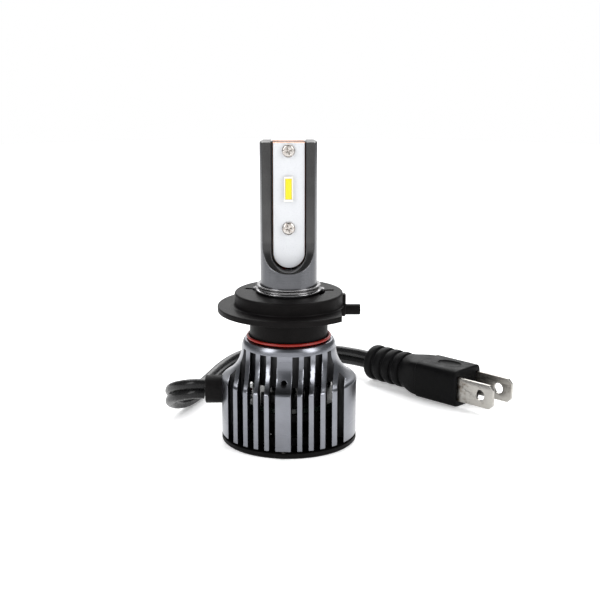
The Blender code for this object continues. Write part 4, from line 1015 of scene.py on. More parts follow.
def gets_bright_skin(face):
    """Whether the face keeps the bright skin: it looks straight out, up or down from the axis."""
    middle, out = face.center, face.normal
    radius = math.hypot(middle.x, middle.y)
    if radius < RECESS_RADIUS - MM:
        return False
    sideways = abs(-middle.y * out.x + middle.x * out.y) / radius
    outward = (middle.x * out.x + middle.y * out.y) / radius
    inner_wall = middle.z < SLOT_TOP and outward < INWARD
    slot_floor = middle.z < SLOT_TOP and radius < CORE_RADIUS + 0.2 * MM
    slot_end = out.z < -0.9 and middle.z > SINK_BOTTOM + MM
    return sideways < WALL_SLANT and not (inner_wall or slot_floor or slot_end)


# Every other face, in the slots and inside, gets the near-black finish: painted shade.
sink.data.materials.append(SLOT_SHADE)
for face in sink.data.polygons:
    face.material_index = 0 if gets_bright_skin(face) else 1
break_edges(sink, 0.07 * MM, 2, 40.0)
hand_over(sink, "root", "anodised_grey", "heat_sink")

# %% [markdown]
# ## The end cover and its screws
# The cover is a black moulded disc with a small locating tab at the front. Its middle is a round
# grille: one set of three curved openings is pushed out of an outline, the ring recipe repeats
# it four times, and the result is cut out of the disc. Four screws hold the cover from below.

# %% Finish: moulded plastic
def moulded_plastic(name, dark, light, gloss):
    """Black engineering plastic with a fine mould texture and faint flow clouds."""
    grain = (6.0, 3.0, 0.6)
    return clouded(
        name, dark, light, gloss, (0.35, 4.0), glint=grain,
        reliefs=((0.02, *grain), (0.03, 0.6, 2.0)), Specular_IOR_Level=0.055,
    )


COVER_PLASTIC = moulded_plastic(
    "cover_plastic", (0.002, 0.002, 0.002), (0.006, 0.0055, 0.0055), (0.38, 0.55))

# %% Mould the cover
COVER_THICKNESS = 1.3 * MM
COVER_CHAMFER = 0.35 * MM
GRILLE_FIRST = 3.6 * MM
GRILLE_SLOT = 1.4 * MM
GRILLE_BAR = 0.9 * MM
GRILLE_RINGS = 3
GRILLE_SPOKES = 4
SPOKE_HALF_WIDTH = 0.8 * MM
TAB_HALF_WIDTH = 1.0 * MM
TAB_REACH = 0.4 * MM

cover = turned("end_cover_moulding", eased([
    (0.0, 0.0), (SINK_RADIUS - COVER_CHAMFER, 0.0, 0.12 * MM), (SINK_RADIUS, COVER_CHAMFER, 0.12 * MM),
    (SINK_RADIUS, COVER_THICKNESS, 0.12 * MM), (0.0, COVER_THICKNESS),
]), COVER_PLASTIC, SINK_SIDES)
tab_outline = rectangle(-TAB_HALF_WIDTH, TAB_HALF_WIDTH, -SINK_RADIUS - TAB_REACH, -SINK_RADIUS + MM)
tab = pushed("tab", tab_outline, COVER_CHAMFER, COVER_THICKNESS - 0.1 * MM, COVER_PLASTIC)
carve(cover, break_edges(moved(tab, z=SINK_TURN), 0.15 * MM, 3), operation="UNION")

opening_shape = bmesh.new()
for ring in range(GRILLE_RINGS):
    inner = GRILLE_FIRST + ring * (GRILLE_SLOT + GRILLE_BAR)
    spoke = math.degrees(SPOKE_HALF_WIDTH / (inner + GRILLE_SLOT / 2))
    outline = sector(inner, inner + GRILLE_SLOT, spoke, 360.0 / GRILLE_SPOKES - spoke, 20)
    push_outline(opening_shape, outline, -MM, COVER_THICKNESS + MM)
openings = make("grille_openings", opening_shape, COVER_PLASTIC)
follow(
    openings, RING, Count=GRILLE_SPOKES, First_angle=math.radians(SINK_TURN + 45.0),
    Finish=COVER_PLASTIC,
)
print("grille openings:", GRILLE_RINGS * GRILLE_SPOKES)

# %% Screw seats in the cover
SCREW_HEAD = 1.3 * MM
SCREW_SINK = 0.15 * MM
SCREW_HEAD_HEIGHT = 0.5 * MM
SCREW_SHANK = 0.8 * MM
SCREW_ROOM = 0.2 * MM

seat_top = SCREW_SINK + SCREW_HEAD_HEIGHT + 0.05 * MM
seats = [openings]
for angle in rib_angles:
    x, y = polar(COVER_SCREW_CIRCLE, angle)
    seat = drill(
        "seat", -MM, (SCREW_HEAD + SCREW_ROOM, seat_top),
        (SCREW_SHANK + SCREW_ROOM, COVER_THICKNESS + MM),
    )
    seats.append(moved(seat, (x, y, 0.0)))
carve(cover, *seats)
break_edges(cover, 0.1 * MM, 2, 50.0)
hand_over(cover, "root", "black_plastic", "end_cover")

# %% [markdown]
# ## Cross-head screws
# All the screws are small nickel-plated ones with a cross recess. One pan head is turned, the
# recess is cut into it, and the recipes repeat it: a ring of four under the cover, and a row of
# two on each face of the lamp post. A recess with sloping walls reads better than a flat
# cross, because each wall catches a different light.

# %% Finish: screw nickel
# Warm plate with rolling marks and a little dirt in the hollows.
SCREW_NICKEL = clouded(
    "screw_nickel", (0.54, 0.515, 0.49), (0.32, 0.26, 0.22), (0.2, 0.4), (2.5, 4.0, 0.6),
    tones=(0.0, 0.8, 0.42, 0.72), reliefs=((0.008, 9.0, 3.0),), metallic=1.0,
)

# %% One cross-head screw
RECESS_TURN = 20.0          # how far round the driver left the cross
RECESS_SHAPE = (0.45, 0.7)  # the recess's foot as a share of its mouth


def cross_screw(name, head, head_height, shank, length, recess):
    """Pan-head screw about Z with its head's underside at 0 and its recess on top."""
    outline = eased([
        (0.0, -length), (0.5 * shank, -length), (shank, -length + 0.5 * shank), (shank, 0.0),
        (head, 0.0, 0.06 * MM), (head, 0.55 * head_height, 0.35 * head_height),
        (0.75 * head, head_height, 0.15 * MM), (0.0, head_height),
    ])
    screw = turned(name, outline, SCREW_NICKEL, 64)
    for angle in (0.0, 90.0):
        half, deep = 0.16 * recess, 0.75 * head_height
        shape = bmesh.new()
        wide = rectangle(-recess, recess, -half, half)
        long, broad = RECESS_SHAPE
        foot = [(long * x, broad * y, head_height - deep) for x, y in wide]
        bridge(shape, foot, [(x, y, head_height + 0.1 * MM) for x, y in wide])
        carve(screw, moved(make("recess", shape, SCREW_NICKEL), z=angle + RECESS_TURN))
    return break_edges(screw, 0.03 * MM, 2, 40.0)


cover_screw = cross_screw(
    "cover_screws", SCREW_HEAD, SCREW_HEAD_HEIGHT, SCREW_SHANK, 5.95 * MM, 0.85 * MM)
moved(cover_screw, (COVER_SCREW_CIRCLE, 0.0, SCREW_SINK + SCREW_HEAD_HEIGHT), x=180.0)
follow(cover_screw, RING, Count=4, First_angle=math.radians(SINK_TURN), Finish=SCREW_NICKEL)
hand_over(cover_screw, "root", "bright_nickel", *[f"cover_screw_{n}" for n in (1, 2, 3, 4)])

# %% [markdown]
# ## The lamp post
# The post is a bar of coated aluminium. A cutter has milled a flat down each side, and where it
# left the bar it leaves a curved run-out, which is the U-shaped step above the collar. A narrow
# channel with a round foot is milled into each flat for the LED board. We cut the same way:
# turned bar first, then the flats, the channels and the wire bore.

# %% Finish: coated post
POST_SKIN = skimmed_aluminium("post_skin", (0.118, 0.120, 0.128), (0.136, 0.138, 0.148), 0.26, 0.32)
# The flats and channels get a darker copy of the post's finish: painted shade.
POST_FLAT_SHADE = skimmed_aluminium("post_flat", (0.068, 0.067, 0.067), (0.080, 0.079, 0.079), 0.26, 0.32)

# %% Mill the post
POST_RADIUS = 6.77 * MM
POST_BOTTOM = 15.9 * MM
POST_TOP = 72.7 * MM
FLAT_OFFSET = 2.75 * MM
FLAT_START = 49.3 * MM
RUNOUT_RADIUS = 8.1 * MM
CHANNEL_HALF_WIDTH = 4.1 * MM
CHANNEL_FOOT = 42.5 * MM
WEB_HALF = 1.0 * MM
BORE_RADIUS = 2.4 * MM
BORE_TOP = 45.3 * MM


def facing(name, outline, side, back, face, finish=None):
    """Push an outline away from the post's middle; side is -1 at the front and 1 at the rear."""
    low, high = sorted((side * back, side * face))
    return pushed(name, outline, low, high, finish, along="Y")


def flat_cutter(side):
    """Cutter for one flat and its run-out, along X."""
    middle = FLAT_OFFSET + RUNOUT_RADIUS
    past = POST_RADIUS + MM
    sweep = math.degrees(math.acos((middle - past) / RUNOUT_RADIUS))
    runout = arc(RUNOUT_RADIUS, 180.0, 180.0 + sweep, 32, (middle, FLAT_START))
    top = POST_TOP + MM
    outline = [(side * y, z) for y, z in [(FLAT_OFFSET, top), *runout, (past, top)]]
    return pushed("flat", outline, -past, past, along="X")


def board_outline(half_width, foot, top):
    """Straight sides and a half-round foot."""
    around = arc(half_width, 180.0, 360.0, 32, (0.0, foot + half_width))
    return around + [(half_width, top), (-half_width, top)]


post = turned("post", eased([
    (0.0, POST_BOTTOM), (POST_RADIUS, POST_BOTTOM, 0.5 * MM), (POST_RADIUS, POST_TOP, 0.5 * MM),
    (0.0, POST_TOP),
]), POST_SKIN, 160)
channel = board_outline(CHANNEL_HALF_WIDTH, CHANNEL_FOOT, POST_TOP + MM)
carve(
    post, flat_cutter(-1), flat_cutter(1),
    facing("channel_front", channel, -1, WEB_HALF, POST_RADIUS + MM),
    facing("channel_rear", channel, 1, WEB_HALF, POST_RADIUS + MM),
    drill("bore", POST_BOTTOM - MM, (BORE_RADIUS, BORE_TOP)),
)
# Faces cut inside the bar's round take the darker copy: painted shade on the flats and channels.
post.data.materials.append(POST_FLAT_SHADE)
for face in post.data.polygons:
    radius = math.hypot(face.center.x, face.center.y)
    face.material_index = 0 if radius > 0.995 * POST_RADIUS else 1
break_edges(post, 0.12 * MM, 3, 40.0)
for corner in post.data.vertices:
    corner.co.z = min(corner.co.z, POST_TOP)
hand_over(post, "root", "anodised_grey", "lamp_post")

# %% [markdown]
# ## LED boards
# Each board is a strip of copper-cored circuit board under glossy white lacquer. The lacquer
# stops just short of the sawn edge, so a thin copper line shows along it. The board is pushed
# out of its outline, its edge is broken all round, and the broken faces get a copper finish
# while the face keeps the lacquer. The LED itself is a white ceramic tray with a strip of yellow
# phosphor.

# %% Finishes: lacquer, copper edge, ceramic and phosphor
# Lacquer lies slightly wavy over the copper, and the sawn copper edge is streaked along the cut.
WHITE_LACQUER = clouded(
    "white_lacquer", (0.54, 0.55, 0.575), (0.585, 0.595, 0.61), (0.26, 0.36), (0.5, 3.0),
    glint=(3.0, 3.0), reliefs=((0.01, 1.2, 2.0),), Specular_IOR_Level=0.5,
)
COPPER_EDGE = clouded(
    "copper_edge", (0.36, 0.13, 0.06), (0.60, 0.28, 0.15), (0.34, 0.55), (1.0, 4.0),
    reliefs=((0.01,),), metallic=1.0, stretch=(6.0, 6.0, 0.8),
)
TRAY_CERAMIC = clouded(
    "tray_ceramic", (0.68, 0.66, 0.60), (0.76, 0.74, 0.69), (0.35, 0.5), (4.0, 3.0),
    reliefs=((0.006,),),
)
# The phosphor is given a faint yellow emission: a painted glow.
PHOSPHOR_YELLOW = clouded(
    "phosphor_yellow", (0.62, 0.50, 0.004), (0.70, 0.58, 0.010), (0.4, 0.55), (8.0, 3.0, 0.6),
    reliefs=((0.01,),), Emission_Color=(1.0, 0.85, 0.0, 1.0), Emission_Strength=0.05,
)

# %% Cut the boards
BOARD_HALF_WIDTH = 3.8 * MM
BOARD_FOOT = 42.8 * MM
BOARD_BACK = 1.3 * MM
BOARD_FACE = 2.3 * MM
BOARD_TOP_GAP = 0.05 * MM
BOARD_SHIFT = 0.1 * MM
LACQUER_MARGIN = 0.13 * MM
BOARD_SCREW_HEIGHTS = (52.4 * MM, 70.7 * MM)
BOARD_SCREW_SHANK = 0.7 * MM
BOARD_SCREW_HOLE = BOARD_SCREW_SHANK + 0.1 * MM


def led_board(face, side):
    """Board with holes for its screws; side is -1 at the front."""
    top = POST_TOP - BOARD_TOP_GAP
    outline = board_outline(BOARD_HALF_WIDTH, BOARD_FOOT, top)
    board = facing(f"led_strip_{face}", outline, side, BOARD_BACK, BOARD_FACE, WHITE_LACQUER)
    holes = [
        moved(drill("hole", -5 * MM, (BOARD_SCREW_HOLE, 5 * MM)), (0.0, 0.0, height), x=90.0)
        for height in BOARD_SCREW_HEIGHTS
    ]
    carve(board, *holes)
    break_edges(board, LACQUER_MARGIN, 1, 60.0)
    board.data.materials.append(COPPER_EDGE)
    for piece in board.data.polygons:
        piece.material_index = 0 if abs(piece.normal.y) > 0.95 else 1
    return moved(board, (-side * BOARD_SHIFT, 0.0, 0.0))


for face, side in (("front", -1), ("rear", 1)):
    hand_over(led_board(face, side), "root", "white_board", f"led_board_{face}")

# %% LED trays and phosphor
LED_HEIGHT = 61.8 * MM
TRAY_HALF = (1.05 * MM, 2.95 * MM)
TRAY_BACK = 2.35 * MM
TRAY_FACE = 2.95 * MM
STRIP_HALF = (0.74 * MM, 2.42 * MM)
STRIP_FACE = 3.05 * MM
STRIP_SINK = 0.12 * MM
STRIP_ROOM = 0.03 * MM


def led(face, side):
    """White tray with a shallow pocket, and the phosphor strip that fills it."""
    def block(name, half, back, front, finish, room=0.0):
        wide, tall = half[0] + room, half[1] + room
        outline = rectangle(-wide, wide, LED_HEIGHT - tall, LED_HEIGHT + tall)
        return facing(name, outline, side, back, front, finish)

    tray = block(f"led_tray_{face}", TRAY_HALF, TRAY_BACK, TRAY_FACE, TRAY_CERAMIC)
    bed = TRAY_FACE - STRIP_SINK
    carve(tray, block(
        "pocket", STRIP_HALF, bed - STRIP_ROOM, TRAY_FACE + MM, TRAY_CERAMIC, STRIP_ROOM))
    break_edges(tray, 0.07 * MM, 2)
    strip = block(f"phosphor_strip_{face}", STRIP_HALF, bed, STRIP_FACE, PHOSPHOR_YELLOW)
    break_edges(strip, 0.1 * MM, 3)
    hand_over(tray, "root", "white_ceramic", f"led_package_{face}")
    hand_over(strip, "root", "phosphor", f"led_phosphor_{face}")


led("front", -1)
led("rear", 1)

# %% Four board screws
BOARD_SCREW_HEAD = 1.55 * MM
BOARD_SCREW_HEAD_HEIGHT = 0.75 * MM
SEAT = 2.35 * MM

board_screw = cross_screw(
    "board_screws", BOARD_SCREW_HEAD, BOARD_SCREW_HEAD_HEIGHT, BOARD_SCREW_SHANK, 1.9 * MM, 1.0 * MM)
moved(board_screw, (0.0, -SEAT, BOARD_SCREW_HEIGHTS[0]), x=90.0)
rise = BOARD_SCREW_HEIGHTS[1] - BOARD_SCREW_HEIGHTS[0]
follow(board_screw, ROW, Count=2, Step=(0.0, 0.0, rise), Finish=SCREW_NICKEL)
follow(board_screw, RING, Count=2, First_angle=0.0, Finish=SCREW_NICKEL)
hand_over(board_screw, "root", "bright_nickel", *[
    f"board_screw_{face}_{place}" for face in ("front", "rear") for place in ("lower", "upper")])

# %% [markdown]
# ## The locking collar
# A polished ring is fixed on the post: two lips with a groove between them, and three lugs that
# reach down through the adapter's keyways and lock behind them when the adapter is twisted.

# %% Finish: polished steel
def polished_steel():
    """Bright turned steel with fine rings and a trace of handling."""
    made = new_finish("polished_steel", (0.30, 0.295, 0.30), 0.18, metallic=1.0)
    rings = specks(made, round_the_axis(made), 5.0, 4.0, 0.6)
    marks = specks(made, millimetres(made), 0.7, 4.0)
    toned = blend_colours(made, rings, (0.20, 0.197, 0.20), (0.27, 0.266, 0.27))
    feed(made, "Base Color", blend_colours(
        made, spread(made, marks, 0.0, 0.5, 0.5, 0.8), toned, (0.18, 0.17, 0.165)))
    feed(made, "Roughness", spread(made, marks, 0.16, 0.28))
    relief(made, rings, 0.0008 * MM)
    return made


POLISHED_STEEL = polished_steel()

# %% Turn the collar and add its lugs
COLLAR_INNER = 6.8 * MM
COLLAR_LOW = 37.0 * MM
COLLAR_TOP = 38.65 * MM
LOWER_LIP = 7.9 * MM
UPPER_LIP = 7.65 * MM
GROOVE_RADIUS = 7.35 * MM
LIP_HEIGHT = 0.38 * MM
LIP_SLOPE = 0.2 * MM
LUG_REACH = 8.6 * MM
LUG_HALF_WIDTH = 1.0 * MM
LUG_LOW = 36.2 * MM
LUG_HIGH = 37.35 * MM
LUG_ANGLES = (5.0, 85.0, 165.0)

collar = turned("collar_ring", eased([
    (COLLAR_INNER, COLLAR_LOW), (LOWER_LIP, COLLAR_LOW, 0.12 * MM),
    (LOWER_LIP, COLLAR_LOW + LIP_HEIGHT, 0.12 * MM),
    (GROOVE_RADIUS, COLLAR_LOW + LIP_HEIGHT + LIP_SLOPE, 0.08 * MM),
    (GROOVE_RADIUS, COLLAR_TOP - LIP_HEIGHT - LIP_SLOPE, 0.08 * MM),
    (UPPER_LIP, COLLAR_TOP - LIP_HEIGHT, 0.12 * MM), (UPPER_LIP, COLLAR_TOP, 0.15 * MM),
    (COLLAR_INNER, COLLAR_TOP, 0.1 * MM),
]), POLISHED_STEEL, 144)
lugs = []
for angle in LUG_ANGLES:
    half = math.degrees(LUG_HALF_WIDTH / LUG_REACH)
    outline = sector(COLLAR_INNER + 0.3 * MM, LUG_REACH, angle - half, angle + half, 6)
    lug = pushed("lug", outline, LUG_LOW, LUG_HIGH, POLISHED_STEEL)
    lugs.append(break_edges(lug, 0.12 * MM, 3))
carve(collar, *lugs, operation="UNION")
hand_over(collar, "root", "polished_steel", "locking_collar")

# %% [markdown]
# ## The base adapter
# The black adapter carries the shape that a headlamp expects: a thin plate with one straight
# edge, a locating pin beside it, and a disc above. Its bore has three keyways for the collar's
# lugs. Behind each keyway a track runs round to a notched stop, so the adapter is pushed on,
# twisted and held. It rides its own body, because it turns.

# %% Mould the adapter
ADAPTER_PLASTIC = moulded_plastic(
    "adapter_plastic", (0.002, 0.0018, 0.0018), (0.007, 0.006, 0.006), (0.38, 0.52))
ADAPTER_BORE = 7.07 * MM
ADAPTER_BOTTOM = 22.7 * MM
ADAPTER_TOP = 36.7 * MM
NECK_RADIUS = 9.4 * MM
PLATE_RADIUS = 17.1 * MM
PLATE_LOW = 32.05 * MM
PLATE_TOP = 33.45 * MM
PLATE_FLAT = 12.35 * MM
DISC_RADIUS = 13.0 * MM
PIN_RADIUS = 1.3 * MM
PIN_HEIGHT = 32.15 * MM
PIN_REACH = 17.2 * MM
BOSS_RADIUS = 1.7 * MM
BOSS_REACH = 13.6 * MM
GUIDE_REACH = 13.7 * MM
GUIDE_TOP = 36.0 * MM

adapter = turned("adapter_moulding", eased([
    (ADAPTER_BORE, ADAPTER_BOTTOM, 0.2 * MM), (NECK_RADIUS, ADAPTER_BOTTOM, 0.3 * MM),
    (NECK_RADIUS, PLATE_LOW, 0.35 * MM), (PLATE_RADIUS, PLATE_LOW, 0.3 * MM),
    (PLATE_RADIUS, PLATE_TOP, 0.3 * MM), (DISC_RADIUS, PLATE_TOP, 0.45 * MM),
    (DISC_RADIUS, ADAPTER_TOP, 0.55 * MM), (ADAPTER_BORE, ADAPTER_TOP, 0.15 * MM),
], 5), ADAPTER_PLASTIC, 192)
straight = rectangle(PLATE_FLAT, PLATE_RADIUS + MM, -PLATE_RADIUS, PLATE_RADIUS)
carve(adapter, pushed("straight_edge", straight, PLATE_LOW - MM, PLATE_TOP, ADAPTER_PLASTIC))
pin = turned("locating_pin", eased([
    (0.0, PLATE_FLAT - MM), (BOSS_RADIUS, PLATE_FLAT - MM), (BOSS_RADIUS, BOSS_REACH, 0.2 * MM),
    (PIN_RADIUS, BOSS_REACH, 0.15 * MM), (PIN_RADIUS, PIN_REACH, 0.3 * MM), (0.0, PIN_REACH),
]), ADAPTER_PLASTIC, 64)
moved(pin, (0.0, 0.0, PIN_HEIGHT), y=90.0)
guide_outline = rectangle(DISC_RADIUS - MM, GUIDE_REACH, -MM, MM)
guide = pushed("guide_rib", guide_outline, PLATE_TOP - 0.4 * MM, GUIDE_TOP, ADAPTER_PLASTIC)
carve(adapter, pin, break_edges(guide, 0.25 * MM, 3), operation="UNION")

# %% Keyways, tracks and notches
TWIST = 25.0                # degrees between a keyway and its stop
TRACK_RADIUS = 8.75 * MM
TRACK_FLOOR = 35.5 * MM
TRACK_ROOM = 0.3 * MM
NOTCH_REACH = 10.9 * MM
NOTCH_HALF_WIDTH = 0.65 * MM
NOTCH_FLOOR = 36.3 * MM

half = math.degrees((LUG_HALF_WIDTH + TRACK_ROOM) / LUG_REACH)
inside = ADAPTER_BORE - 0.4 * MM
past_top = ADAPTER_TOP + MM
for angle in LUG_ANGLES:
    key = angle - TWIST
    track = sector(inside, TRACK_RADIUS, key - half, angle + half, 16)
    keyway = sector(inside, TRACK_RADIUS, key - half, key + half, 8)
    notch = rectangle(TRACK_RADIUS - 0.4 * MM, NOTCH_REACH, -NOTCH_HALF_WIDTH, NOTCH_HALF_WIDTH)
    carve(
        adapter, pushed("track", track, TRACK_FLOOR, past_top, ADAPTER_PLASTIC),
        pushed("keyway", keyway, ADAPTER_BOTTOM - MM, past_top, ADAPTER_PLASTIC),
        moved(pushed("notch", notch, NOTCH_FLOOR, past_top, ADAPTER_PLASTIC), z=angle),
    )
hand_over(adapter, "adapter", "black_plastic", "base_adapter")

# %% [markdown]
# ## The seal
# A thin red silicone ring lies round the neck inside the heat sink's rim.

# %% The seal
SEAL_MIDDLE = 9.85 * MM
SEAL_HEIGHT = 25.85 * MM
SEAL_SECTION = 0.36 * MM
RED_SILICONE = clouded(
    "red_silicone", (0.19, 0.007, 0.004), (0.31, 0.014, 0.007), (0.28, 0.42), (1.0, 3.0),
    reliefs=((0.01, 4.0, 2.0),), Specular_IOR_Level=0.5,
)
seal_outline = arc(SEAL_SECTION, 0.0, 360.0, 20, (SEAL_MIDDLE, SEAL_HEIGHT))[:-1]
seal = turned("seal_ring", seal_outline, RED_SILICONE, 160)
hand_over(seal, "root", "red_silicone", "neck_seal")

# %% [markdown]
# ## The fan's impeller
# The impeller pushes air up the slots. Its hub is a turned cup that hides the magnet. One blade
# is skinned through sections at growing radii, bowed a little to scoop air, and the ring recipe
# makes the other six.

# %% Mould the impeller
HUB_RADIUS = 6.4 * MM
HUB_LOW = 2.0 * MM
HUB_TOP = 6.9 * MM
HUB_WALL = 0.8 * MM
FAN_RADIUS = 10.7 * MM
BLADE_COUNT = 7
BLADE_CHORD = 5.2 * MM
BLADE_PITCH = 50.0
BLADE_HALF_THICKNESS = 0.3 * MM
BLADE_BOW = 0.35 * MM
BLADE_EDGE = 0.35           # how thick the edges are, as a share of the middle
CHORD_STEPS = 8
SPAN_STEPS = 5

hub = turned("impeller", eased([
    (0.0, HUB_LOW), (HUB_RADIUS, HUB_LOW, 0.6 * MM), (HUB_RADIUS, HUB_TOP, 0.15 * MM),
    (HUB_RADIUS - HUB_WALL, HUB_TOP, 0.15 * MM), (HUB_RADIUS - HUB_WALL, HUB_LOW + HUB_WALL),
    (0.0, HUB_LOW + HUB_WALL),
]), COVER_PLASTIC, 128)


def blade_section(radius):
    """Points round one section of a blade, bowed and thinned towards both edges."""
    pitch = math.radians(BLADE_PITCH)
    points = []
    for face in (-1, 1):
        for step in range(CHORD_STEPS + 1):
            t = -face * (2 * step / CHORD_STEPS - 1)
            thick = face * BLADE_HALF_THICKNESS * (BLADE_EDGE + (1 - BLADE_EDGE) * math.sqrt(1 - t * t))
            along, across = t * BLADE_CHORD / 2, thick + BLADE_BOW * (0.5 - t * t)
            tangent = along * math.cos(pitch) - across * math.sin(pitch)
            height = along * math.sin(pitch) + across * math.cos(pitch)
            angle = tangent / radius
            points.append((radius * math.cos(angle), radius * math.sin(angle),
                           (HUB_LOW + HUB_TOP) / 2 + height))
    return points


blade_shape = bmesh.new()
root_radius = HUB_RADIUS - 0.3 * MM
radii = [root_radius + (FAN_RADIUS - root_radius) * n / SPAN_STEPS for n in range(SPAN_STEPS + 1)]
skin(blade_shape, [blade_section(radius) for radius in radii])
blades = make("blades", blade_shape, COVER_PLASTIC, 40.0)
follow(blades, RING, Count=BLADE_COUNT, First_angle=0.0, Finish=COVER_PLASTIC)
carve(hub, blades, operation="UNION")
hand_over(hub, "fan_rotor", "black_plastic", "fan_impeller")

# %% [markdown]
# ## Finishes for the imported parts
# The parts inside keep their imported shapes, which are right as they stand, and get finishes of
# their own. Most are two tones clouded together, so they stand in a table, one row for each.

# %% Finishes for the inside
def wound(name, dark, light):
    """Enamelled wire wound up the height: fine bands one wire wide."""
    made = new_finish(name, light, 0.3, metallic=1.0)
    tree = made.node_tree
    bands = node(
        tree, "ShaderNodeTexWave", {"bands_direction": "Z"}, Vector=millimetres(made), Scale=2.0,
        Distortion=0.4,
    ).outputs[0]
    feed(made, "Base Color", blend_colours(made, bands, dark, light))
    feed(made, "Roughness", spread(made, bands, 0.42, 0.28))
    relief(made, bands, 0.08 * MM)
    return made


def board_mask():
    """Dark solder mask with faint tracks under it."""
    made = new_finish("board_mask", (0.006, 0.012, 0.009), 0.3)
    cells = node(
        made.node_tree, "ShaderNodeTexBrick", Vector=millimetres(made), Color1=(0.0, 0.0, 0.0, 1.0),
        Color2=(1.0, 1.0, 1.0, 1.0), Mortar=(0.5, 0.5, 0.5, 1.0), Scale=0.5,
    ).outputs[0]
    feed(made, "Base Color", blend_colours(made, cells, (0.004, 0.008, 0.006), (0.008, 0.018, 0.012)))
    feed(made, "Roughness", spread(made, specks(made, millimetres(made), 3.0, 3.0), 0.25, 0.4))
    relief(made, cells, 0.02 * MM)
    return made


INSIDE = {
    "fan_frame": moulded_plastic(
        "frame_plastic", (0.005, 0.005, 0.005), (0.011, 0.011, 0.011), (0.45, 0.6)),
    "fan_coil": wound("copper_winding", (0.28, 0.09, 0.03), (0.58, 0.25, 0.10)),
    "fan_circuit": board_mask(),
    "fan_shaft": POLISHED_STEEL,
    "fan_lead_black": BLACK_VINYL,
}
EVEN = (1.0, 1.0, 1.0)
ROLLED = (0.5, 0.5, 8.0)    # sheet steel stacked up the height
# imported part, finish, two tones, gloss, specks in a millimetre, relief in mm, metallic, stretch
for label, name, dark, light, gloss, scale, depth, metallic, stretch in (
    ("fan_sleeve", "sintered_bronze", (0.32, 0.19, 0.07), (0.48, 0.31, 0.14), (0.4, 0.6),
     6.0, 0.02, 1.0, EVEN),
    ("fan_core", "core_steel", (0.10, 0.10, 0.11), (0.22, 0.22, 0.23), (0.35, 0.5),
     2.0, 0.03, 1.0, ROLLED),
    ("fan_magnet", "ferrite", (0.02, 0.02, 0.022), (0.05, 0.05, 0.054), (0.5, 0.7),
     4.0, 0.02, 0.0, EVEN),
    ("fan_washer", "washer_nylon", (0.62, 0.60, 0.55), (0.78, 0.77, 0.73), (0.4, 0.55),
     3.0, 0.01, 0.0, EVEN),
    ("fan_lead_red", "red_insulation", (0.10, 0.006, 0.005), (0.17, 0.010, 0.008), (0.35, 0.5),
     2.0, 0.01, 0.0, EVEN),
    ("grub_screw", "black_oxide", (0.02, 0.02, 0.022), (0.06, 0.06, 0.065), (0.3, 0.5),
     5.0, 0.01, 1.0, EVEN),
    ("driver_capacitor", "can_sleeve", (0.012, 0.012, 0.016), (0.030, 0.030, 0.036), (0.3, 0.42),
     1.5, 0.01, 0.0, EVEN),
):
    INSIDE[label] = clouded(
        name, dark, light, gloss, (scale, 4.0, 0.6), tones=(0.0, 1.0), reliefs=((depth,),),
        metallic=metallic, stretch=stretch,
    )
INSIDE["driver_board"] = INSIDE["fan_circuit"]
for label in ("driver_inductor", "driver_chip", "driver_diode"):
    INSIDE[label] = INSIDE["fan_magnet"]
print("finishes:", len(set(INSIDE.values())))

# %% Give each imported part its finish
packed_parts = []
for thing in bpy.data.objects:
    if thing.name not in frame["nodes"] or thing.hide_render:
        continue
    label = thing.name
    if label.startswith("fan_coil"):
        label = "fan_coil"
    elif "wire" in label or "lead" in label:
        label = "fan_lead_red" if label.endswith("red") else "fan_lead_black"
    for place in thing.material_slots:
        place.material = INSIDE[label]
    packed_parts.append(thing.name)
print(len(packed_parts), "packed parts kept:", ", ".join(sorted(packed_parts)))

# %% [markdown]
# ## Floor and light
# The floor is a plain pale disc as white as the room behind it, so its rim never shows. A very
# soft overhead light fills the scene. Metal has no colour of its own to speak of and shows only
# what it reflects, so the size and place of the soft boxes draw the bright bands on the flare
# and the post. The room is dim in reflections, which keeps the black parts black.

# %% The floor
FLOOR_RADIUS = 0.6


def pale_floor():
    """Matt white acrylic lit a little from below, with the faintest cloudiness."""
    made = new_finish(
        "pale_floor", (0.92, 0.92, 0.92), 0.6, Specular_IOR_Level=0.2,
        Emission_Color=(1.0, 1.0, 1.0, 1.0), Emission_Strength=0.3,
    )
    cloud = specks(made, millimetres(made), 0.004, 2.0)
    feed(made, "Base Color", blend_colours(made, cloud, (0.90, 0.90, 0.90), (0.94, 0.94, 0.94)))
    return made


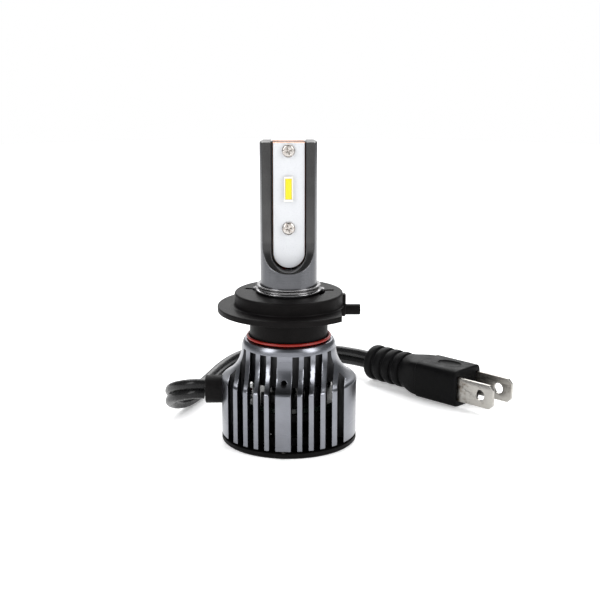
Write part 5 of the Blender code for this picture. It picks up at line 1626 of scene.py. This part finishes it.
floor_shape = bmesh.new()
rim = [floor_shape.verts.new((x, y, 0.0)) for x, y in arc(FLOOR_RADIUS, 0.0, 360.0, 96)[:-1]]
floor_shape.faces.new(rim)
floor = make("floor", floor_shape, pale_floor())
print("floor", 2 * FLOOR_RADIUS, "m across")

# %% The room
def room(seen, reflected):
    """World that is one brightness to the camera and another in reflections."""
    world = bpy.data.worlds.new("studio_room")
    world.use_nodes = True
    tree = world.node_tree
    tree.nodes.clear()
    path = node(tree, "ShaderNodeLightPath")
    for_eye = node(tree, "ShaderNodeBackground", Color=(1.0, 1.0, 1.0, 1.0), Strength=seen)
    for_metal = node(tree, "ShaderNodeBackground", Color=(0.96, 0.98, 1.0, 1.0), Strength=reflected)
    mixed = node(tree, "ShaderNodeMixShader", _0=path.outputs["Is Camera Ray"],
                 _1=for_metal.outputs[0], _2=for_eye.outputs[0])
    node(tree, "ShaderNodeOutputWorld", Surface=mixed.outputs[0])
    bpy.context.scene.world = world


room(seen=1.0, reflected=0.22)
bpy.context.scene.view_settings.view_transform = "Standard"


BULB_MIDDLE = Vector((0.0, 0.0, 40 * MM))


def soft_box(name, place, size, power):
    """Rectangular area light that looks at the middle of the bulb."""
    light = bpy.data.lights.new(name, "AREA")
    light.shape = "RECTANGLE"
    light.size, light.size_y = size
    light.energy = power
    turn = (BULB_MIDDLE - Vector(place)).to_track_quat("-Z", "Y").to_euler()
    return place_object(name, light, place, turn)


SUN_POWER = 3.0
SUN_SPREAD = 60.0           # degrees across, which makes the shadow very soft
SUN_TILT = -42.0            # degrees from straight down
overhead = bpy.data.lights.new("overhead", "SUN")
overhead.energy = SUN_POWER
overhead.angle = math.radians(SUN_SPREAD)
place_object("overhead", overhead, turn=(math.radians(SUN_TILT), 0.0, 0.0))
for name, place, size, power in (
    ("left_box", (-0.50, -0.35, 0.42), (0.30, 0.55), 3.3),
    ("right_box", (0.52, -0.30, 0.40), (0.30, 0.55), 3.3),
    ("back_box", (0.0, 0.75, 0.32), (1.0, 0.5), 1.0),
    ("front_box", (0.0, -1.1, 0.27), (1.6, 0.45), 2.6),
):
    soft_box(name, place, size, power)
